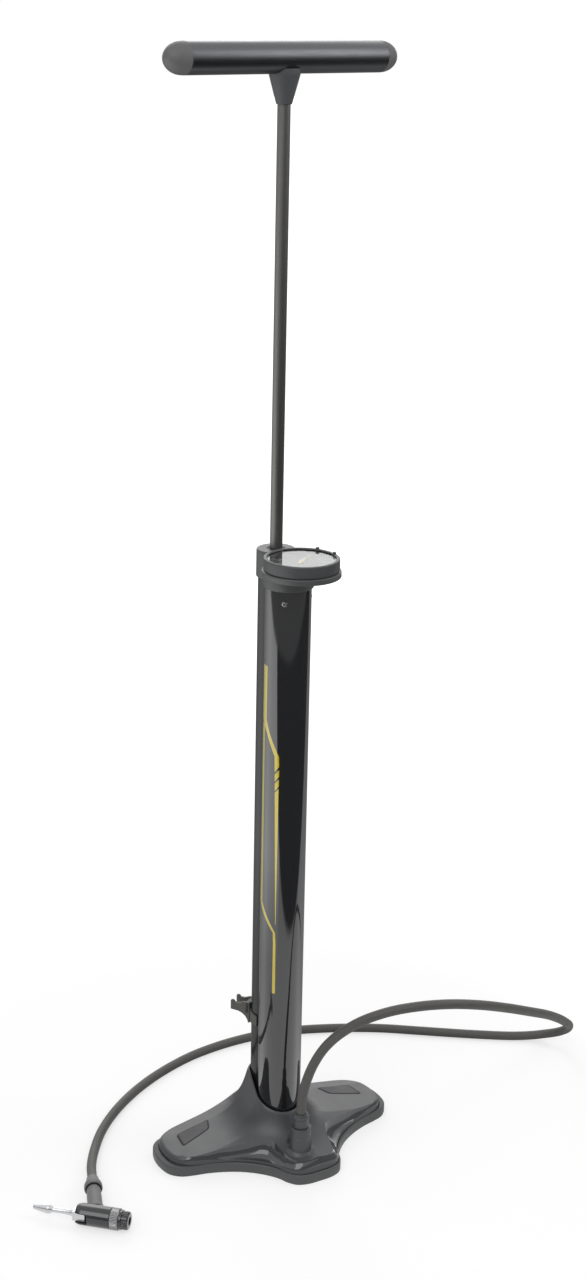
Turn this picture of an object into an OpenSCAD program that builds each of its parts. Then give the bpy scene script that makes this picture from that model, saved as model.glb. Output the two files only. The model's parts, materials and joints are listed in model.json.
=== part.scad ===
// Floor bike pump with a second tube beside the barrel that holds air.
// Origin: on the floor, on the axis of the barrel. Front, with the gauge, is -Y; the handle is up, +Z.

/* [Barrel and rod] */
// Outer diameter of the barrel
barrel_od = 35; // [32:0.5:37]
// Wall of the barrel
barrel_wall = 1.5; // [1:0.1:2]
// Length of the barrel tube
barrel_len = 624; // [560:1:660]
// Outer diameter of the cap on the barrel
cap_od = 39; // [38.6:0.1:39.4]
// How far the cap reaches down over the barrel
cap_skirt = 21; // [15:1:30]
// Thickness of the cap above the barrel
cap_lid = 7; // [6:0.5:9]
// Outer diameter of the piston rod
rod_od = 12.5; // [11:0.5:13.5]
// How far the rod stands out in the pose shown
rod_out = 423; // [330:1:450]
// Height of the piston head
piston_h = 18; // [14:1:24]
// Height of the rubber bumper over the piston
bumper_h = 6; // [4:1:10]

/* [Tank] */
// Outer diameter of the air tank
tank_od = 45.8; // [44:0.2:47]
// Wall of the air tank
tank_wall = 1.6; // [1:0.1:2]
// Distance from the barrel axis to the tank axis
tank_offset = 29.5; // [28.5:0.1:30.5]
// How far the tank stays below the top of the barrel
tank_drop = 15; // [10:1:20]

/* [Handle] */
// Diameter of the handle tube
handle_od = 29.4; // [27:0.1:32]
// Wall of the handle tube
handle_wall = 2; // [1.5:0.1:3]
// Length of the handle tube between its caps
handle_len = 240; // [220:1:320]
// How far a domed end cap stands out
dome_h = 20; // [5:0.5:22]
// Height of the tapered neck under the handle
neck_h = 27; // [20:1:36]
// Diameter of the neck where it meets the rod
neck_low_od = 14.7; // [14.5:0.1:18]
// Turn of the handle from the line of the wings, in degrees
handle_turn = 16; // [-90:1:90]

/* [Gauge] */
// Distance from the barrel axis to the gauge axis
gauge_offset = 57; // [57:0.1:60]
// Outer diameter of the turning bezel
bezel_od = 74; // [73.6:0.1:74.4]
// Height of the bezel
bezel_h = 12; // [11:0.5:14]
// Height of the gauge lip above the top of the tank
lip_rise = 15; // [13:0.5:18]
// How far the housing lip stands out from the bezel
lip_out = 1.5; // [0.5:0.1:2.5]
// Wall of the housing around the tank
housing_wall = 2.1; // [1.8:0.1:3]
// Height of the housing band around the tank
housing_band = 11; // [8:0.5:14]
// Length of the needle from its axis
needle_len = 25; // [20:1:27]

/* [Base] */
// Height of the rim of the tray
tray_h = 11; // [9:0.5:13]
// Floor thickness of the tray
tray_floor = 3; // [2:0.5:4]
// Wall of the tray rim
tray_wall = 6; // [5:0.5:8]
// How far the cover stays inside the tray rim
cover_inset = 2.5; // [1.5:0.1:3]
// How much wider the ledge of the tray is at the wing tips
tip_ledge = 4; // [0:0.5:5]
// Turn of the base round the barrel
base_turn = 4.2; // [0:0.1:6]
// Sideways set of the base from the barrel
base_side = 3.5; // [0:0.1:5]
// Straight edge at the foot of the cover
cover_edge = 3; // [2:0.1:4]
// Wall thickness of the cover
cover_wall = 3; // [2.4:0.1:3.6]
// Height of the wings near their tips
wing_h = 20; // [18:0.5:24]
// Height of the collar behind the barrel
collar_h = 78; // [70:1:90]
// How steeply the collar falls towards the front
collar_fall = 0.42; // [0.3:0.01:0.45]
// Wall of the collar at its rim
collar_wall = 2.5; // [2:0.1:4]
// Thickness of the grip pads on the wings
pad_t = 1.6; // [1:0.1:2.4]

/* [Hose and chuck] */
// Diameter of the hose
hose_od = 10.1; // [9:0.1:10.2]
// Diameter of the hose boss on the base
boss_od = 22.7; // [20:0.1:24]
// Height of the top of the boss
boss_top = 54; // [50:1:60]
// Diameter of the hose nut
nut_od = 16.3; // [15:0.1:18]
// Height of the hose nut
nut_h = 15.5; // [12:0.5:15.5]
// Diameter of the chuck body
chuck_od = 22; // [20:0.5:22]
// Bore of the chuck mouth, for a tyre valve
mouth_d = 8.4; // [8:0.1:9]
// Angle of the chuck from +X, in degrees
chuck_turn = -39; // [-45:1:-33]
// Length of the chuck lever from its pin
lever_len = 52; // [44:1:58]

/* [Clip] */
// Height of the middle of the clip jaws
clip_z = 148; // [120:1:300]
// Gap between the clip jaws
clip_gap = 10; // [9.4:0.1:11]
// Reach of the clip jaws from the barrel axis
clip_reach = 41; // [38:1:44]
// Angle of the clip from +X, in degrees
clip_turn = 126.5; // [100:0.5:150]

/* [Hidden] */
$fn = 96;
// Radial gap of a running fit, of a seated part and of a part that turns freely near another
fit = 0.05;
seat = 0.1;
gap = 0.3;

barrel_r = barrel_od / 2;
bore_r = barrel_r - barrel_wall;
rod_r = rod_od / 2;
tank_r = tank_od / 2;
handle_r = handle_od / 2;
// Heights up the pump: the plate that both tubes stand on comes first
plate_z = 8;
seat_z = 26;
spigot_h = 14;
spigot_top = seat_z + spigot_h;
barrel_top = seat_z + barrel_len;
cap_top = barrel_top + cap_lid;
tank_top = barrel_top - tank_drop;
neck_z = cap_top + rod_out;
handle_z = neck_z + neck_h + handle_r - 0.2;
// The closed pump rests with its neck on the cap, a hair above it
closed_gap = 0.5;
stroke_down = rod_out - closed_gap;
piston_z = spigot_top + 3 + stroke_down;
piston_top = piston_z + piston_h;
bushing_h = 10;
rod_bolt_r = 3;
// Self-tapping screws and the holes they cut
screw_r = 1.45;
screw_hole_r = 1.5;

// Gauge
lip_z = tank_top + lip_rise;
lip_t = 6.2;
bezel_r = bezel_od / 2;
bezel_z = lip_z + gap;
glass_top = bezel_z + bezel_h - 1.6;
glass_t = 1.4;
case_r = bezel_r - 2.8;
case_wall = 1;
case_floor = 1.2;
gauge_stem_r = 3.2;
case_z = lip_z - 5.4;
dial_z = glass_top - glass_t - 3.8;
dial_t = 0.8;
module_size = 0.8;
pinion_teeth = 10;
sector_teeth = 60;
mesh_dist = module_size * (pinion_teeth + sector_teeth) / 2;
sector_swing = 45;
gear_z = dial_z - 3.4;
gear_t = 1.6;
needle_turn = 45;

// Base
hub_c = [0, -18];
boss_y = -84;
boss_r = boss_od / 2;
bowl_y = -82;
bowl_r = 15.5;
bowl_z = 24;
collar_gap = 0.6;
hub_floor = 24;
screw_spots = [[95, -4], [38, 20]];
front_screws = [[24, -88]];
post_r = 4;

// Right half of the rim from the front: x, y, width of the cove inside it, how hollow the cove is
rim_half = [[0, -110, 4, 0.2], [13.5, -109.5, 4, 0.2], [25, -105.5, 6, 0.4], [32, -97, 10, 0.6],
    [36.5, -86.5, 14, 0.8], [43.5, -76, 18, 1], [53.5, -65.5, 20, 1], [65, -56.5, 18, 1],
    [79.5, -48.5, 13, 0.9], [96.5, -42, 9, 0.6], [113, -38, 6, 0.4], [125, -33.5, 5, 0.2],
    [134, -23, 5, 0], [136.5, -6, 5, 0], [134.5, 10, 5, 0], [128.5, 22, 5, 0], [116, 29, 5, 0],
    [95, 32, 6, 0.1], [72.5, 35, 7, 0.2], [51.5, 39.5, 8, 0.3], [31, 43.5, 8, 0.3], [12.5, 45.5, 8, 0.3],
    [0, 45.8, 8, 0.3]];
// Corners of the right grip pad
pad_quad = [[70, 12], [106, 9], [109, -11], [76, -2]];

// Chuck: its own X runs along the body from the lever end to the mouth, its stem leans back
chuck_at = [-229, -87];
chuck_r = chuck_od / 2;
stem_lean = 111.5;
stem_r = 7.7;
stem_end = 47;
ferrule_r = 9.5;
ferrule_end = 66;
body_back = -20;
body_front = 16;
ring_front = 25;
mouth_front = 35;
slot_w = 11;
slot_end = -7;
pin_x = -14;
pin_r = 1.5;
cam_r = 5.2;
cam_throw = 1.1;
cam_gap = 0.5;
plunger_r = 3;
chamber_r = 6;
neck_r = chuck_r - 2.6;
neck_in_cap = 2;
valve_r = mouth_d / 2;

// Route of the hose: up out of the boss, over in an arch, back along the floor behind, to the chuck
floor_z = 5.2;
hose_end = [-229 + 64 * cos(72.5), -87 + 64 * sin(72.5)];
route = [[0, -84, 66], [0, -84, 80], [1, -85, 93], [4, -87, 109], [9, -92, 129], [17, -99, 149], [28, -110, 168],
    [45, -124, 186], [70, -137, 198], [100, -146, 202], [134, -150, 199], [173, -145, 187],
    [217, -129, 166], [260, -106, 141], [303, -79, 114], [340, -49, 86], [366, -26, 64],
    [386, -5, 45], [396, 13, 29], [395, 29, 17], [385, 42, 10], [369, 52, 6.5], [348, 63, floor_z],
    [319, 79, floor_z], [289, 97, floor_z], [254, 119, floor_z], [218, 141, floor_z],
    [180, 159, floor_z], [141, 173, floor_z], [105, 182, floor_z], [67, 185, floor_z],
    [27, 182, floor_z], [-16, 172, floor_z], [-60, 153, floor_z], [-99, 129, floor_z],
    [-134, 100, floor_z], [-163, 68, floor_z], [-184, 36, floor_z], [-199, 6, 6.5],
    [hose_end[0], hose_end[1], chuck_r]];

// ---- shared shapes ----

function lerp(a, b, t) = a + (b - a) * t;
function clamp(v, lo, hi) = min(max(v, lo), hi);
function unit(v) = v / norm(v);
function ease(t) = let (u = clamp(t, 0, 1)) u * u * (3 - 2 * u);
// Smooth curve through four points, from the second to the third
function spline(p, t) = 0.5 * (2 * p[1] + (p[2] - p[0]) * t + (2 * p[0] - 5 * p[1] + 4 * p[2] - p[3]) * t * t
    + (3 * p[1] - p[0] - 3 * p[2] + p[3]) * t * t * t);
function smooth_loop(c, n) = [for (i = [0:len(c) - 1], j = [0:n - 1])
    spline([for (k = [-1:2]) c[(i + k + len(c)) % len(c)]], j / n)];
function smooth_line(c, n) = concat([for (i = [0:len(c) - 2], j = [0:n - 1])
    spline([for (k = [-1:2]) c[clamp(i + k, 0, len(c) - 1)]], j / n)], [c[len(c) - 1]]);

// Faces between the rings of a closed or open skin, all rings with the same number of points
function band(n, a, b) = [for (j = [0:n - 1]) let (k = (j + 1) % n)
    each [[a * n + j, b * n + j, b * n + k], [a * n + j, b * n + k, a * n + k]]];
module skin(rings, closed) {
    n = len(rings[0]);
    last = len(rings) - 1;
    ends = closed ? band(n, last, 0)
        : [[for (j = [0:n - 1]) j], [for (j = [n - 1:-1:0]) last * n + j]];
    polyhedron([for (r = rings) each r],
        concat([for (i = [0:last - 1]) each band(n, i, i + 1)], ends), convexity = 8);
}

// Round tube along a line of points, its rings carried along without twisting
function across(n, t) = unit(n - (n * t) * t);
function sides(ts, n, i = 0, found = []) = i == len(ts) ? found
    : let (m = across(n, ts[i])) sides(ts, m, i + 1, concat(found, [m]));
module swept_tube(pts, r, count, first) {
    last = len(pts) - 1;
    ts = [for (i = [0:last]) unit(pts[min(i + 1, last)] - pts[max(i - 1, 0)])];
    ns = sides(ts, first);
    skin([for (i = [0:last]) [for (j = [0:count - 1]) let (a = 360 * j / count)
        pts[i] + r * (cos(a) * ns[i] + sin(a) * cross(ts[i], ns[i]))]], false);
}

module ring(r_out, r_in, h) {
    difference() {
        cylinder(r = r_out, h = h);
        translate([0, 0, -1]) cylinder(r = r_in, h = h + 2);
    }
}
module at_tank(z) translate([0, -tank_offset, z]) children();
module at_gauge(z) translate([0, -gauge_offset, z]) children();
module at_handle() translate([0, 0, handle_z]) rotate([0, 0, handle_turn]) rotate([0, 90, 0]) children();
module at_chuck() translate([chuck_at[0], chuck_at[1], chuck_r]) rotate([0, 0, chuck_turn]) children();
module along_x(x) translate([x, 0, 0]) rotate([0, 90, 0]) children();
module at_stem(d) at_chuck() rotate([0, 0, stem_lean]) along_x(d) children();

// Tank outline: round, with a hollow back that lies on the barrel
module tank_shape(inset) {
    difference() {
        translate([0, -tank_offset]) circle(r = tank_r - inset);
        circle(r = barrel_r + seat + inset);
    }
}

// ---- the base ----

// From the base's own frame to the pump's, and back
function placed(p) = [p[0] * cos(base_turn) - p[1] * sin(base_turn) + base_side,
    p[0] * sin(base_turn) + p[1] * cos(base_turn)];
function own(p) = let (x = p[0] - base_side)
    [x * cos(base_turn) + p[1] * sin(base_turn), p[1] * cos(base_turn) - x * sin(base_turn)];
rim = [for (p = smooth_loop(concat(rim_half, [for (i = [len(rim_half) - 2:-1:1])
    [-rim_half[i][0], rim_half[i][1], rim_half[i][2], rim_half[i][3]]]), 2)) concat(placed(p), [p[2], p[3]])];
function xy(p) = [p[0], p[1]];
function ledge(p) = tip_ledge * ease((abs(own(p)[0]) - 100) / 32);
function inward(p, d) = xy(p) - unit(xy(p) - hub_c) * d;
// Point on the oval round both tubes, in direction n
function oval(n, grow) = let (a = n * (barrel_r + grow), b = [0, -tank_offset] + n * (tank_r + grow))
    a * n > b * n ? a : b;
function collar_z(y) = collar_h - collar_fall * max(0, -y);
// Distance outside the collar
function off_hub(p) = let (t = clamp(-p[1] / tank_offset, 0, 1))
    max(0, norm(p - [0, -tank_offset * t]) - lerp(barrel_r, tank_r, t) - collar_gap - collar_wall);
function plain_z(p) = let (q = own(p)) wing_h + 0.137 * (116 - abs(q[0])) - 0.163 * max(0, abs(q[1] + 14) - 26);
function swept_z(p) = let (z = plain_z(p)) z + (collar_z(p[1]) - z) * exp(-off_hub(p) / 10);
// Top of the cover, with the bowl that the hose boss stands in
function top_z(p) = lerp(bowl_z, swept_z(p), ease((norm(p - [0, bowl_y]) - bowl_r + 2) / 4));
// Cove inside the rim: 0 hollow is a round shoulder, 1 is hollow
function cove(u, hollow) = lerp(sqrt(1 - pow(1 - u, 2)), 1 - sqrt(1 - u * u), hollow);
cove_steps = [0, 0.15, 0.35, 0.6, 0.85, 1];
rise_steps = [0.12, 0.25, 0.4, 0.55, 0.68, 0.8, 0.9, 0.96];
under_steps = [0.9, 0.7, 0.5, 0.3];
under_cove_steps = [1, 0.85, 0.6, 0.35];

function cover_section(p) = let (
        n = unit(xy(p) - hub_c),
        inset = cover_inset + ledge(p),
        e = inward(p, inset),
        co = oval(n, collar_gap + collar_wall),
        ci = oval(n, collar_gap),
        w = p[2] / norm(e - co),
        edge_z = tray_h + cover_edge,
        inner = inward(p, inset + cover_wall),
        rim_z = collar_z(co[1]))
    concat(
        [[e[0], e[1], tray_h]],
        [for (u = cove_steps) let (q = lerp(e, co, u * w)) [q[0], q[1], lerp(edge_z, top_z(q), cove(u, p[3]))]],
        [for (v = rise_steps) let (q = lerp(e, co, lerp(w, 1, v))) [q[0], q[1], top_z(q)]],
        [[co[0], co[1], rim_z], [ci[0], ci[1], rim_z], [ci[0], ci[1], hub_floor]],
        [for (v = under_steps) let (q = lerp(e, co, lerp(w, 1, v)))
            [q[0], q[1], min(top_z(q) - cover_wall, hub_floor)]],
        [for (u = under_cove_steps) let (
                q = lerp(e, co, u * w),
                r = inward(p, inset + u * p[2] + cover_wall * (1 - p[3])),
                z = lerp(edge_z, top_z(q), cove(u, p[3])) - cover_wall)
            [r[0], r[1], min(z, hub_floor)]],
        [[inner[0], inner[1], tray_h]]);

screws = concat([for (side = [-1, 1], s = screw_spots) placed([side * s[0], s[1]])], front_screws);
module screw_places() {
    for (s = screws) translate([s[0], s[1], 0]) children();
}

module base_tray() {
    color("#3a3c3e")
    difference() {
        linear_extrude(tray_h) polygon([for (p = rim) xy(p)]);
        translate([0, 0, tray_floor]) linear_extrude(tray_h) polygon([for (p = rim) inward(p, tray_wall + ledge(p))]);
        screw_places() {
            translate([0, 0, -1]) cylinder(r = 2.2, h = tray_floor + 2);
            translate([0, 0, -1]) cylinder(r = 3.8, h = 2.4);
        }
    }
}

module base_cover() {
    color("#26282a")
    difference() {
        union() {
            skin([for (i = [len(rim) - 1:-1:0]) cover_section(rim[i])], true);
            for (s = screws) translate([s[0], s[1], tray_floor])
                cylinder(r = post_r, h = top_z(s) - cover_wall / 2 - tray_floor);
        }
        translate([0, boss_y, 0]) cylinder(r = boss_r + seat, h = boss_top);
        screw_places() cylinder(r = screw_hole_r, h = wing_h - 4);
    }
}

// Grip pad that follows the wing: a grid of points over its four corners
function pad_point(u, v) = lerp(lerp(pad_quad[0], pad_quad[1], u), lerp(pad_quad[3], pad_quad[2], u), v);
module grip_pad(side) {
    steps = 8;
    rows = [for (i = [0:steps]) [for (j = [0:steps])
        let (q = pad_point((side > 0 ? i : steps - i) / steps, j / steps)) placed([side * q[0], q[1]])]];
    skin([for (r = rows) concat(
        [for (q = r) [q[0], q[1], top_z(q) + 0.4]],
        [for (j = [steps:-1:0]) [r[j][0], r[j][1], top_z(r[j]) + 0.4 - pad_t]])], false);
}
module grip_pads() {
    color("#303234") for (side = [-1, 1]) grip_pad(side);
}

module base_screws() {
    color("#b9bcc0")
    screw_places() translate([0, 0, 0.4]) {
        cylinder(r = 3.6, h = 1);
        cylinder(r = screw_r, h = 14);
    }
}

// ---- valve and outlet inside the base ----

module manifold_plate() {
    hull() {
        cylinder(r = barrel_r - 0.6, h = seat_z - tray_floor, $fn = 32);
        translate([0, -tank_offset, 0]) cylinder(r = tank_r - 0.6, h = seat_z - tray_floor, $fn = 32);
    }
}
valve_r_in = 6;
valve_seat_r = 3;
air_r = 2.5;
port_r = 4;
module valve_manifold() {
    color("#55585c")
    difference() {
        union() {
            translate([0, 0, tray_floor]) manifold_plate();
            cylinder(r = bore_r - seat, h = spigot_top);
            translate([0, 0, seat_z - 1]) linear_extrude(spigot_h + 1) tank_shape(tank_wall + seat);
        }
        cylinder(r = 20, h = tray_floor);
        translate([0, 0, plate_z]) cylinder(r = valve_r_in, h = 14);
        translate([0, 0, plate_z]) cylinder(r = valve_seat_r, h = spigot_top);
        at_tank(plate_z + 4) rotate([-90, 0, 0]) cylinder(r = air_r, h = tank_offset);
        at_tank(plate_z + 4) rotate([90, 0, 0]) cylinder(r = air_r, h = tank_r + 1);
        at_tank(plate_z + 4) rotate([90, 0, 0]) translate([0, 0, tank_r - 7]) cylinder(r = port_r + fit, h = 10);
        at_tank(plate_z + 4) cylinder(r = air_r, h = spigot_top);
        translate([0, 0, seat_z + 6]) ring(bore_r + 1, bore_r - 1.6, 3.2);
    }
}

module socket_seals() {
    color("#1a1a1a")
    translate([0, 0, seat_z + 6]) rotate_extrude() translate([bore_r - 0.9, 1.6]) circle(r = 0.7, $fn = 24);
}

poppet_t = 2.2;
module check_poppet() {
    color("#d8d8d0")
    translate([0, 0, plate_z + 14 - poppet_t - fit]) {
        cylinder(r = 5, h = poppet_t);
        translate([0, 0, -5]) cylinder(r = 2, h = 5);
    }
}

spring_turns = 4;
module check_spring() {
    color("#c0c2c6")
    let (low = plate_z + 0.6, high = plate_z + 14 - poppet_t - 0.8, steps = spring_turns * 12)
    swept_tube([for (i = [0:steps]) let (a = 30 * i)
        [3.4 * cos(a), 3.4 * sin(a), lerp(low, high, i / steps)]], 0.4, 6, [1, 0, 0]);
}

module outlet_elbow() {
    color("#3c3f42")
    difference() {
        union() {
            translate([0, boss_y, tray_floor]) cylinder(r = boss_r, h = boss_top - tray_floor);
            translate([0, boss_y, plate_z + 4]) rotate([-90, 0, 0])
                cylinder(r = 6, h = -boss_y - tank_offset - tank_r + 0.3);
            translate([0, boss_y, plate_z + 4]) rotate([-90, 0, 0])
                cylinder(r = port_r, h = -boss_y - tank_offset - tank_r + 6);
        }
        translate([0, boss_y, plate_z + 4]) cylinder(r = air_r, h = boss_top);
        translate([0, boss_y, plate_z + 4]) rotate([-90, 0, 0]) cylinder(r = air_r, h = 80);
    }
}

module hose_nut() {
    color("#3c3f42")
    translate([0, boss_y, boss_top])
    difference() {
        union() {
            cylinder(r = nut_od / 2, h = nut_h - 3);
            translate([0, 0, nut_h - 3]) cylinder(r = nut_od / 2 - 0.9, h = 3);
            translate([0, 0, nut_h - 4.4]) rotate_extrude() translate([nut_od / 2 - 0.2, 0]) circle(r = 0.8, $fn = 24);
        }
        translate([0, 0, nut_h - 6]) cylinder(r = hose_od / 2 + 0.1, h = 10);
        translate([0, 0, -1]) cylinder(r = air_r, h = nut_h);
    }
}

// ---- barrel, rod and piston ----

module barrel_tube() {
    color("#1c1e20") translate([0, 0, seat_z]) ring(barrel_r, bore_r, barrel_len);
}

module barrel_cap() {
    color("#4a4d50")
    difference() {
        translate([0, 0, barrel_top - cap_skirt]) union() {
            cylinder(r = cap_od / 2, h = cap_skirt + cap_lid - 1.2);
            translate([0, 0, cap_skirt + cap_lid - 1.2]) cylinder(r1 = cap_od / 2, r2 = cap_od / 2 - 1.2, h = 1.2);
        }
        cylinder(r = barrel_r + fit, h = barrel_top);
        cylinder(r = rod_r + 0.6, h = cap_top + 1);
        translate([0, 0, cap_top - 4]) cylinder(r = rod_r + 3, h = 5);
        at_tank(0) cylinder(r = tank_r + gap, h = tank_top + gap);
    }
}

module rod_bushing() {
    color("#d9d5c8") translate([0, 0, barrel_top - bushing_h]) ring(bore_r - fit, rod_r + fit, bushing_h);
}

module rod_wiper() {
    color("#18191a") translate([0, 0, cap_top - 4]) ring(rod_r + 3 - fit, rod_r + fit, 3.4);
}

module piston_head() {
    color("#c9c6bc")
    translate([0, 0, piston_z])
    difference() {
        cylinder(r = bore_r - 0.4, h = piston_h);
        translate([0, 0, 5]) cylinder(r = rod_r + fit, h = piston_h);
        translate([0, 0, -1]) cylinder(r = rod_bolt_r + fit, h = 10);
        translate([0, 0, piston_h - 7]) ring(bore_r + 1, bore_r - 2.4, 3);
    }
}

module piston_cup() {
    color("#202122")
    translate([0, 0, piston_z + piston_h - 7])
        ring(bore_r - fit, bore_r - 2.4 + fit, 3);
}

module top_bumper() {
    color("#202122") translate([0, 0, piston_top]) ring(bore_r - 3, rod_r + gap, bumper_h);
}

module piston_bolt() {
    color("#b9bcc0")
    translate([0, 0, piston_z]) {
        translate([0, 0, -2.6]) cylinder(r = 5, h = 2.5, $fn = 6);
        translate([0, 0, -1]) cylinder(r = rod_bolt_r, h = 16);
    }
}

module piston_rod() {
    color("#6a6c6e")
    difference() {
        union() {
            translate([0, 0, piston_z + 5 + fit]) cylinder(r = rod_r, h = neck_z + neck_h - piston_z - 5 - fit);
            translate([0, 0, neck_z + neck_h]) cylinder(r = rod_r - 1.2, h = handle_r + 5);
        }
        translate([0, 0, piston_z]) cylinder(r = rod_bolt_r, h = 16);
        translate([0, 0, piston_z + 18]) cylinder(r = rod_r - 2, h = neck_z - piston_z - 30);
    }
}

// ---- handle ----

module handle_neck() {
    color("#3a3c3e")
    difference() {
        union() {
            translate([0, 0, neck_z]) cylinder(r1 = neck_low_od / 2, r2 = handle_r + 0.1, h = neck_h);
            translate([0, 0, neck_z + neck_h]) cylinder(r = handle_r + 0.1, h = 5);
        }
        at_handle() translate([0, 0, -handle_len / 2]) cylinder(r = handle_r + fit, h = handle_len);
        translate([0, 0, neck_z - 1]) cylinder(r = rod_r + fit, h = neck_h + 10);
        translate([0, 0, handle_z - handle_r - seat]) cylinder(r = spigot_r, h = neck_h);
    }
}

core_r = handle_r - handle_wall - seat;
spigot_r = 8;
core_len = 44;
module handle_core() {
    color("#8a8d90")
    difference() {
        union() {
            at_handle() translate([0, 0, -core_len / 2]) cylinder(r = core_r, h = core_len);
            translate([0, 0, handle_z - handle_r]) cylinder(r = spigot_r - seat, h = handle_r);
        }
        translate([0, 0, neck_z]) cylinder(r = rod_r - 1.2 + fit, h = neck_h + handle_od);
        translate([0, 0, neck_z]) cylinder(r = rod_r + fit, h = neck_h + fit);
        translate([0, 0, handle_z + 1]) cylinder(r = 9.6, h = handle_r);
    }
}

module handle_nut() {
    color("#b9bcc0")
    translate([0, 0, handle_z + 1])
    difference() {
        cylinder(r = 9.2, h = 6, $fn = 6);
        translate([0, 0, -1]) cylinder(r = rod_r - 1.2 + fit, h = 8);
    }
}

module handle_tube() {
    color("#2a2c2e")
    difference() {
        at_handle() translate([0, 0, -handle_len / 2]) ring(handle_r, handle_r - handle_wall, handle_len);
        translate([0, 0, neck_z]) cylinder(r = spigot_r, h = neck_h + handle_r);
    }
}

module handle_cap() {
    plug_r = handle_r - handle_wall - seat;
    rotate_extrude() polygon(concat([[0, -12], [plug_r, -12], [plug_r, 0], [handle_r, 0]],
        [for (a = [0:7.5:90]) [(handle_r - 0.2) * cos(a), 1.2 + (dome_h - 1.2) * sin(a)]]));
}
module handle_caps() {
    color("#3e4042")
    at_handle() for (side = [0, 1]) mirror([0, 0, side]) translate([0, 0, handle_len / 2]) handle_cap();
}

// ---- tank ----

module tank_tube() {
    color("#1c1e20")
    translate([0, 0, seat_z])
    difference() {
        linear_extrude(tank_top - seat_z) tank_shape(0);
        translate([0, 0, -1]) linear_extrude(tank_top) tank_shape(tank_wall);
        translate([0, 0, -seat_z]) tank_screw_places() translate([0, 0, -8]) cylinder(r = screw_hole_r, h = 12);
    }
}

plug_h = 30;
stem_y = -tank_offset - 13;
module tank_plug() {
    color("#8a8d90")
    difference() {
        translate([0, 0, tank_top - plug_h]) linear_extrude(plug_h) tank_shape(tank_wall + seat);
        translate([0, stem_y, tank_top - plug_h - 1]) cylinder(r = 3, h = plug_h + 2);
        tank_screw_places() translate([0, 0, -8]) cylinder(r = screw_hole_r, h = 12);
        translate([0, 0, tank_top - plug_h + 4]) linear_extrude(3) difference() {
            tank_shape(0);
            tank_shape(tank_wall + 1.8);
        }
    }
}

module tank_seal() {
    color("#18191a")
    translate([0, 0, tank_top - plug_h + 4.3]) linear_extrude(2.4) difference() {
        tank_shape(tank_wall + fit);
        tank_shape(tank_wall + 1.8 - fit);
    }
}

module tank_screw_places() {
    for (a = [-125, -5]) at_tank(tank_top - 21) rotate([0, 0, a]) along_x(tank_r) children();
}
module tank_screws() {
    color("#c8cace")
    tank_screw_places() difference() {
        union() {
            cylinder(r1 = 3, r2 = 2.4, h = 1.6);
            translate([0, 0, -7]) cylinder(r = screw_r, h = 8);
        }
        translate([0, 0, 0.6]) cylinder(r = 1.3, h = 2, $fn = 6);
    }
}

// ---- gauge ----

module gauge_housing() {
    band_z = tank_top - housing_band + 2;
    out_r = tank_r + housing_wall;
    color("#4a4d50")
    difference() {
        union() {
            at_tank(band_z) cylinder(r = out_r, h = housing_band);
            hull() {
                at_tank(band_z + housing_band - 1) cylinder(r = out_r, h = 1, $fn = 48);
                at_gauge(lip_z - lip_t) cylinder(r = bezel_r + lip_out, h = lip_t, $fn = 64);
            }
        }
        translate([0, 0, band_z - 1]) linear_extrude(tank_top - band_z + 1) translate([0, -tank_offset])
            circle(r = tank_r + fit);
        translate([0, 0, band_z - 1]) cylinder(r = cap_od / 2 + gap, h = 60);
        at_gauge(case_z - 0.2) cylinder(r = case_r + seat, h = 40);
        translate([0, stem_y, band_z]) cylinder(r = gauge_stem_r + seat, h = 30);
    }
}

module gauge_stem() {
    color("#b08d4a")
    translate([0, stem_y, tank_top])
    difference() {
        cylinder(r = gauge_stem_r, h = case_z + case_floor - tank_top);
        translate([0, 0, -1]) cylinder(r = 1, h = case_z - tank_top);
    }
}

sector_at = [0, mesh_dist];
module gauge_case() {
    color("#7c7f82")
    at_gauge(case_z)
    difference() {
        cylinder(r = case_r, h = dial_z - case_z);
        translate([0, 0, case_floor]) cylinder(r = case_r - case_wall, h = 30);
        translate([0, stem_y + gauge_offset, -1]) cylinder(r = gauge_stem_r + seat, h = 3);
    }
}

// Flattened spring tube that straightens as the pressure rises, on the block over the stem
module bourdon_tube() {
    color("#c8a050")
    at_gauge(case_z + case_floor + 2) {
        rotate([0, 0, 120]) rotate_extrude(angle = 240) translate([14.5, 0]) square([2, 4]);
        translate([-3, stem_y + gauge_offset - 3, -2]) cube([6, 6, 2]);
        translate([0, stem_y + gauge_offset, -0.2]) rotate([0, 0, 180]) translate([-3, -3, 0]) cube([12, 5, 3]);
    }
}

module sector_post() {
    color("#b9bcc0")
    at_gauge(case_z + case_floor) translate([sector_at[0], sector_at[1], 0]) {
        cylinder(r = 2.6, h = gear_z - case_z - case_floor - gap);
        cylinder(r = 1.2, h = gear_z + gear_t - case_z - 0.8);
    }
}

// Gear teeth: half of a tooth's angle at radius r, for a gear of n teeth
press = 20;
function involute(a) = tan(a) * 180 / PI - a;
function tooth_half(n, r) = let (pitch = module_size * n / 2)
    90 / n + involute(press) - involute(acos(clamp(pitch * cos(press) / r, 0, 1))) - 9 / n;
function tooth(n, at) = let (
        pitch = module_size * n / 2,
        tip = pitch + 0.8 * module_size,
        root = pitch - 1.15 * module_size,
        low = max(root, pitch * cos(press) + 0.001),
        rs = concat([root], [for (t = [0:3]) lerp(low, tip, t / 3)]),
        halves = [for (r = rs) tooth_half(n, max(r, low))])
    concat([for (i = [0:4]) rs[i] * [cos(at - halves[i]), sin(at - halves[i])]],
        [for (i = [4:-1:0]) rs[i] * [cos(at + halves[i]), sin(at + halves[i])]]);

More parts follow.
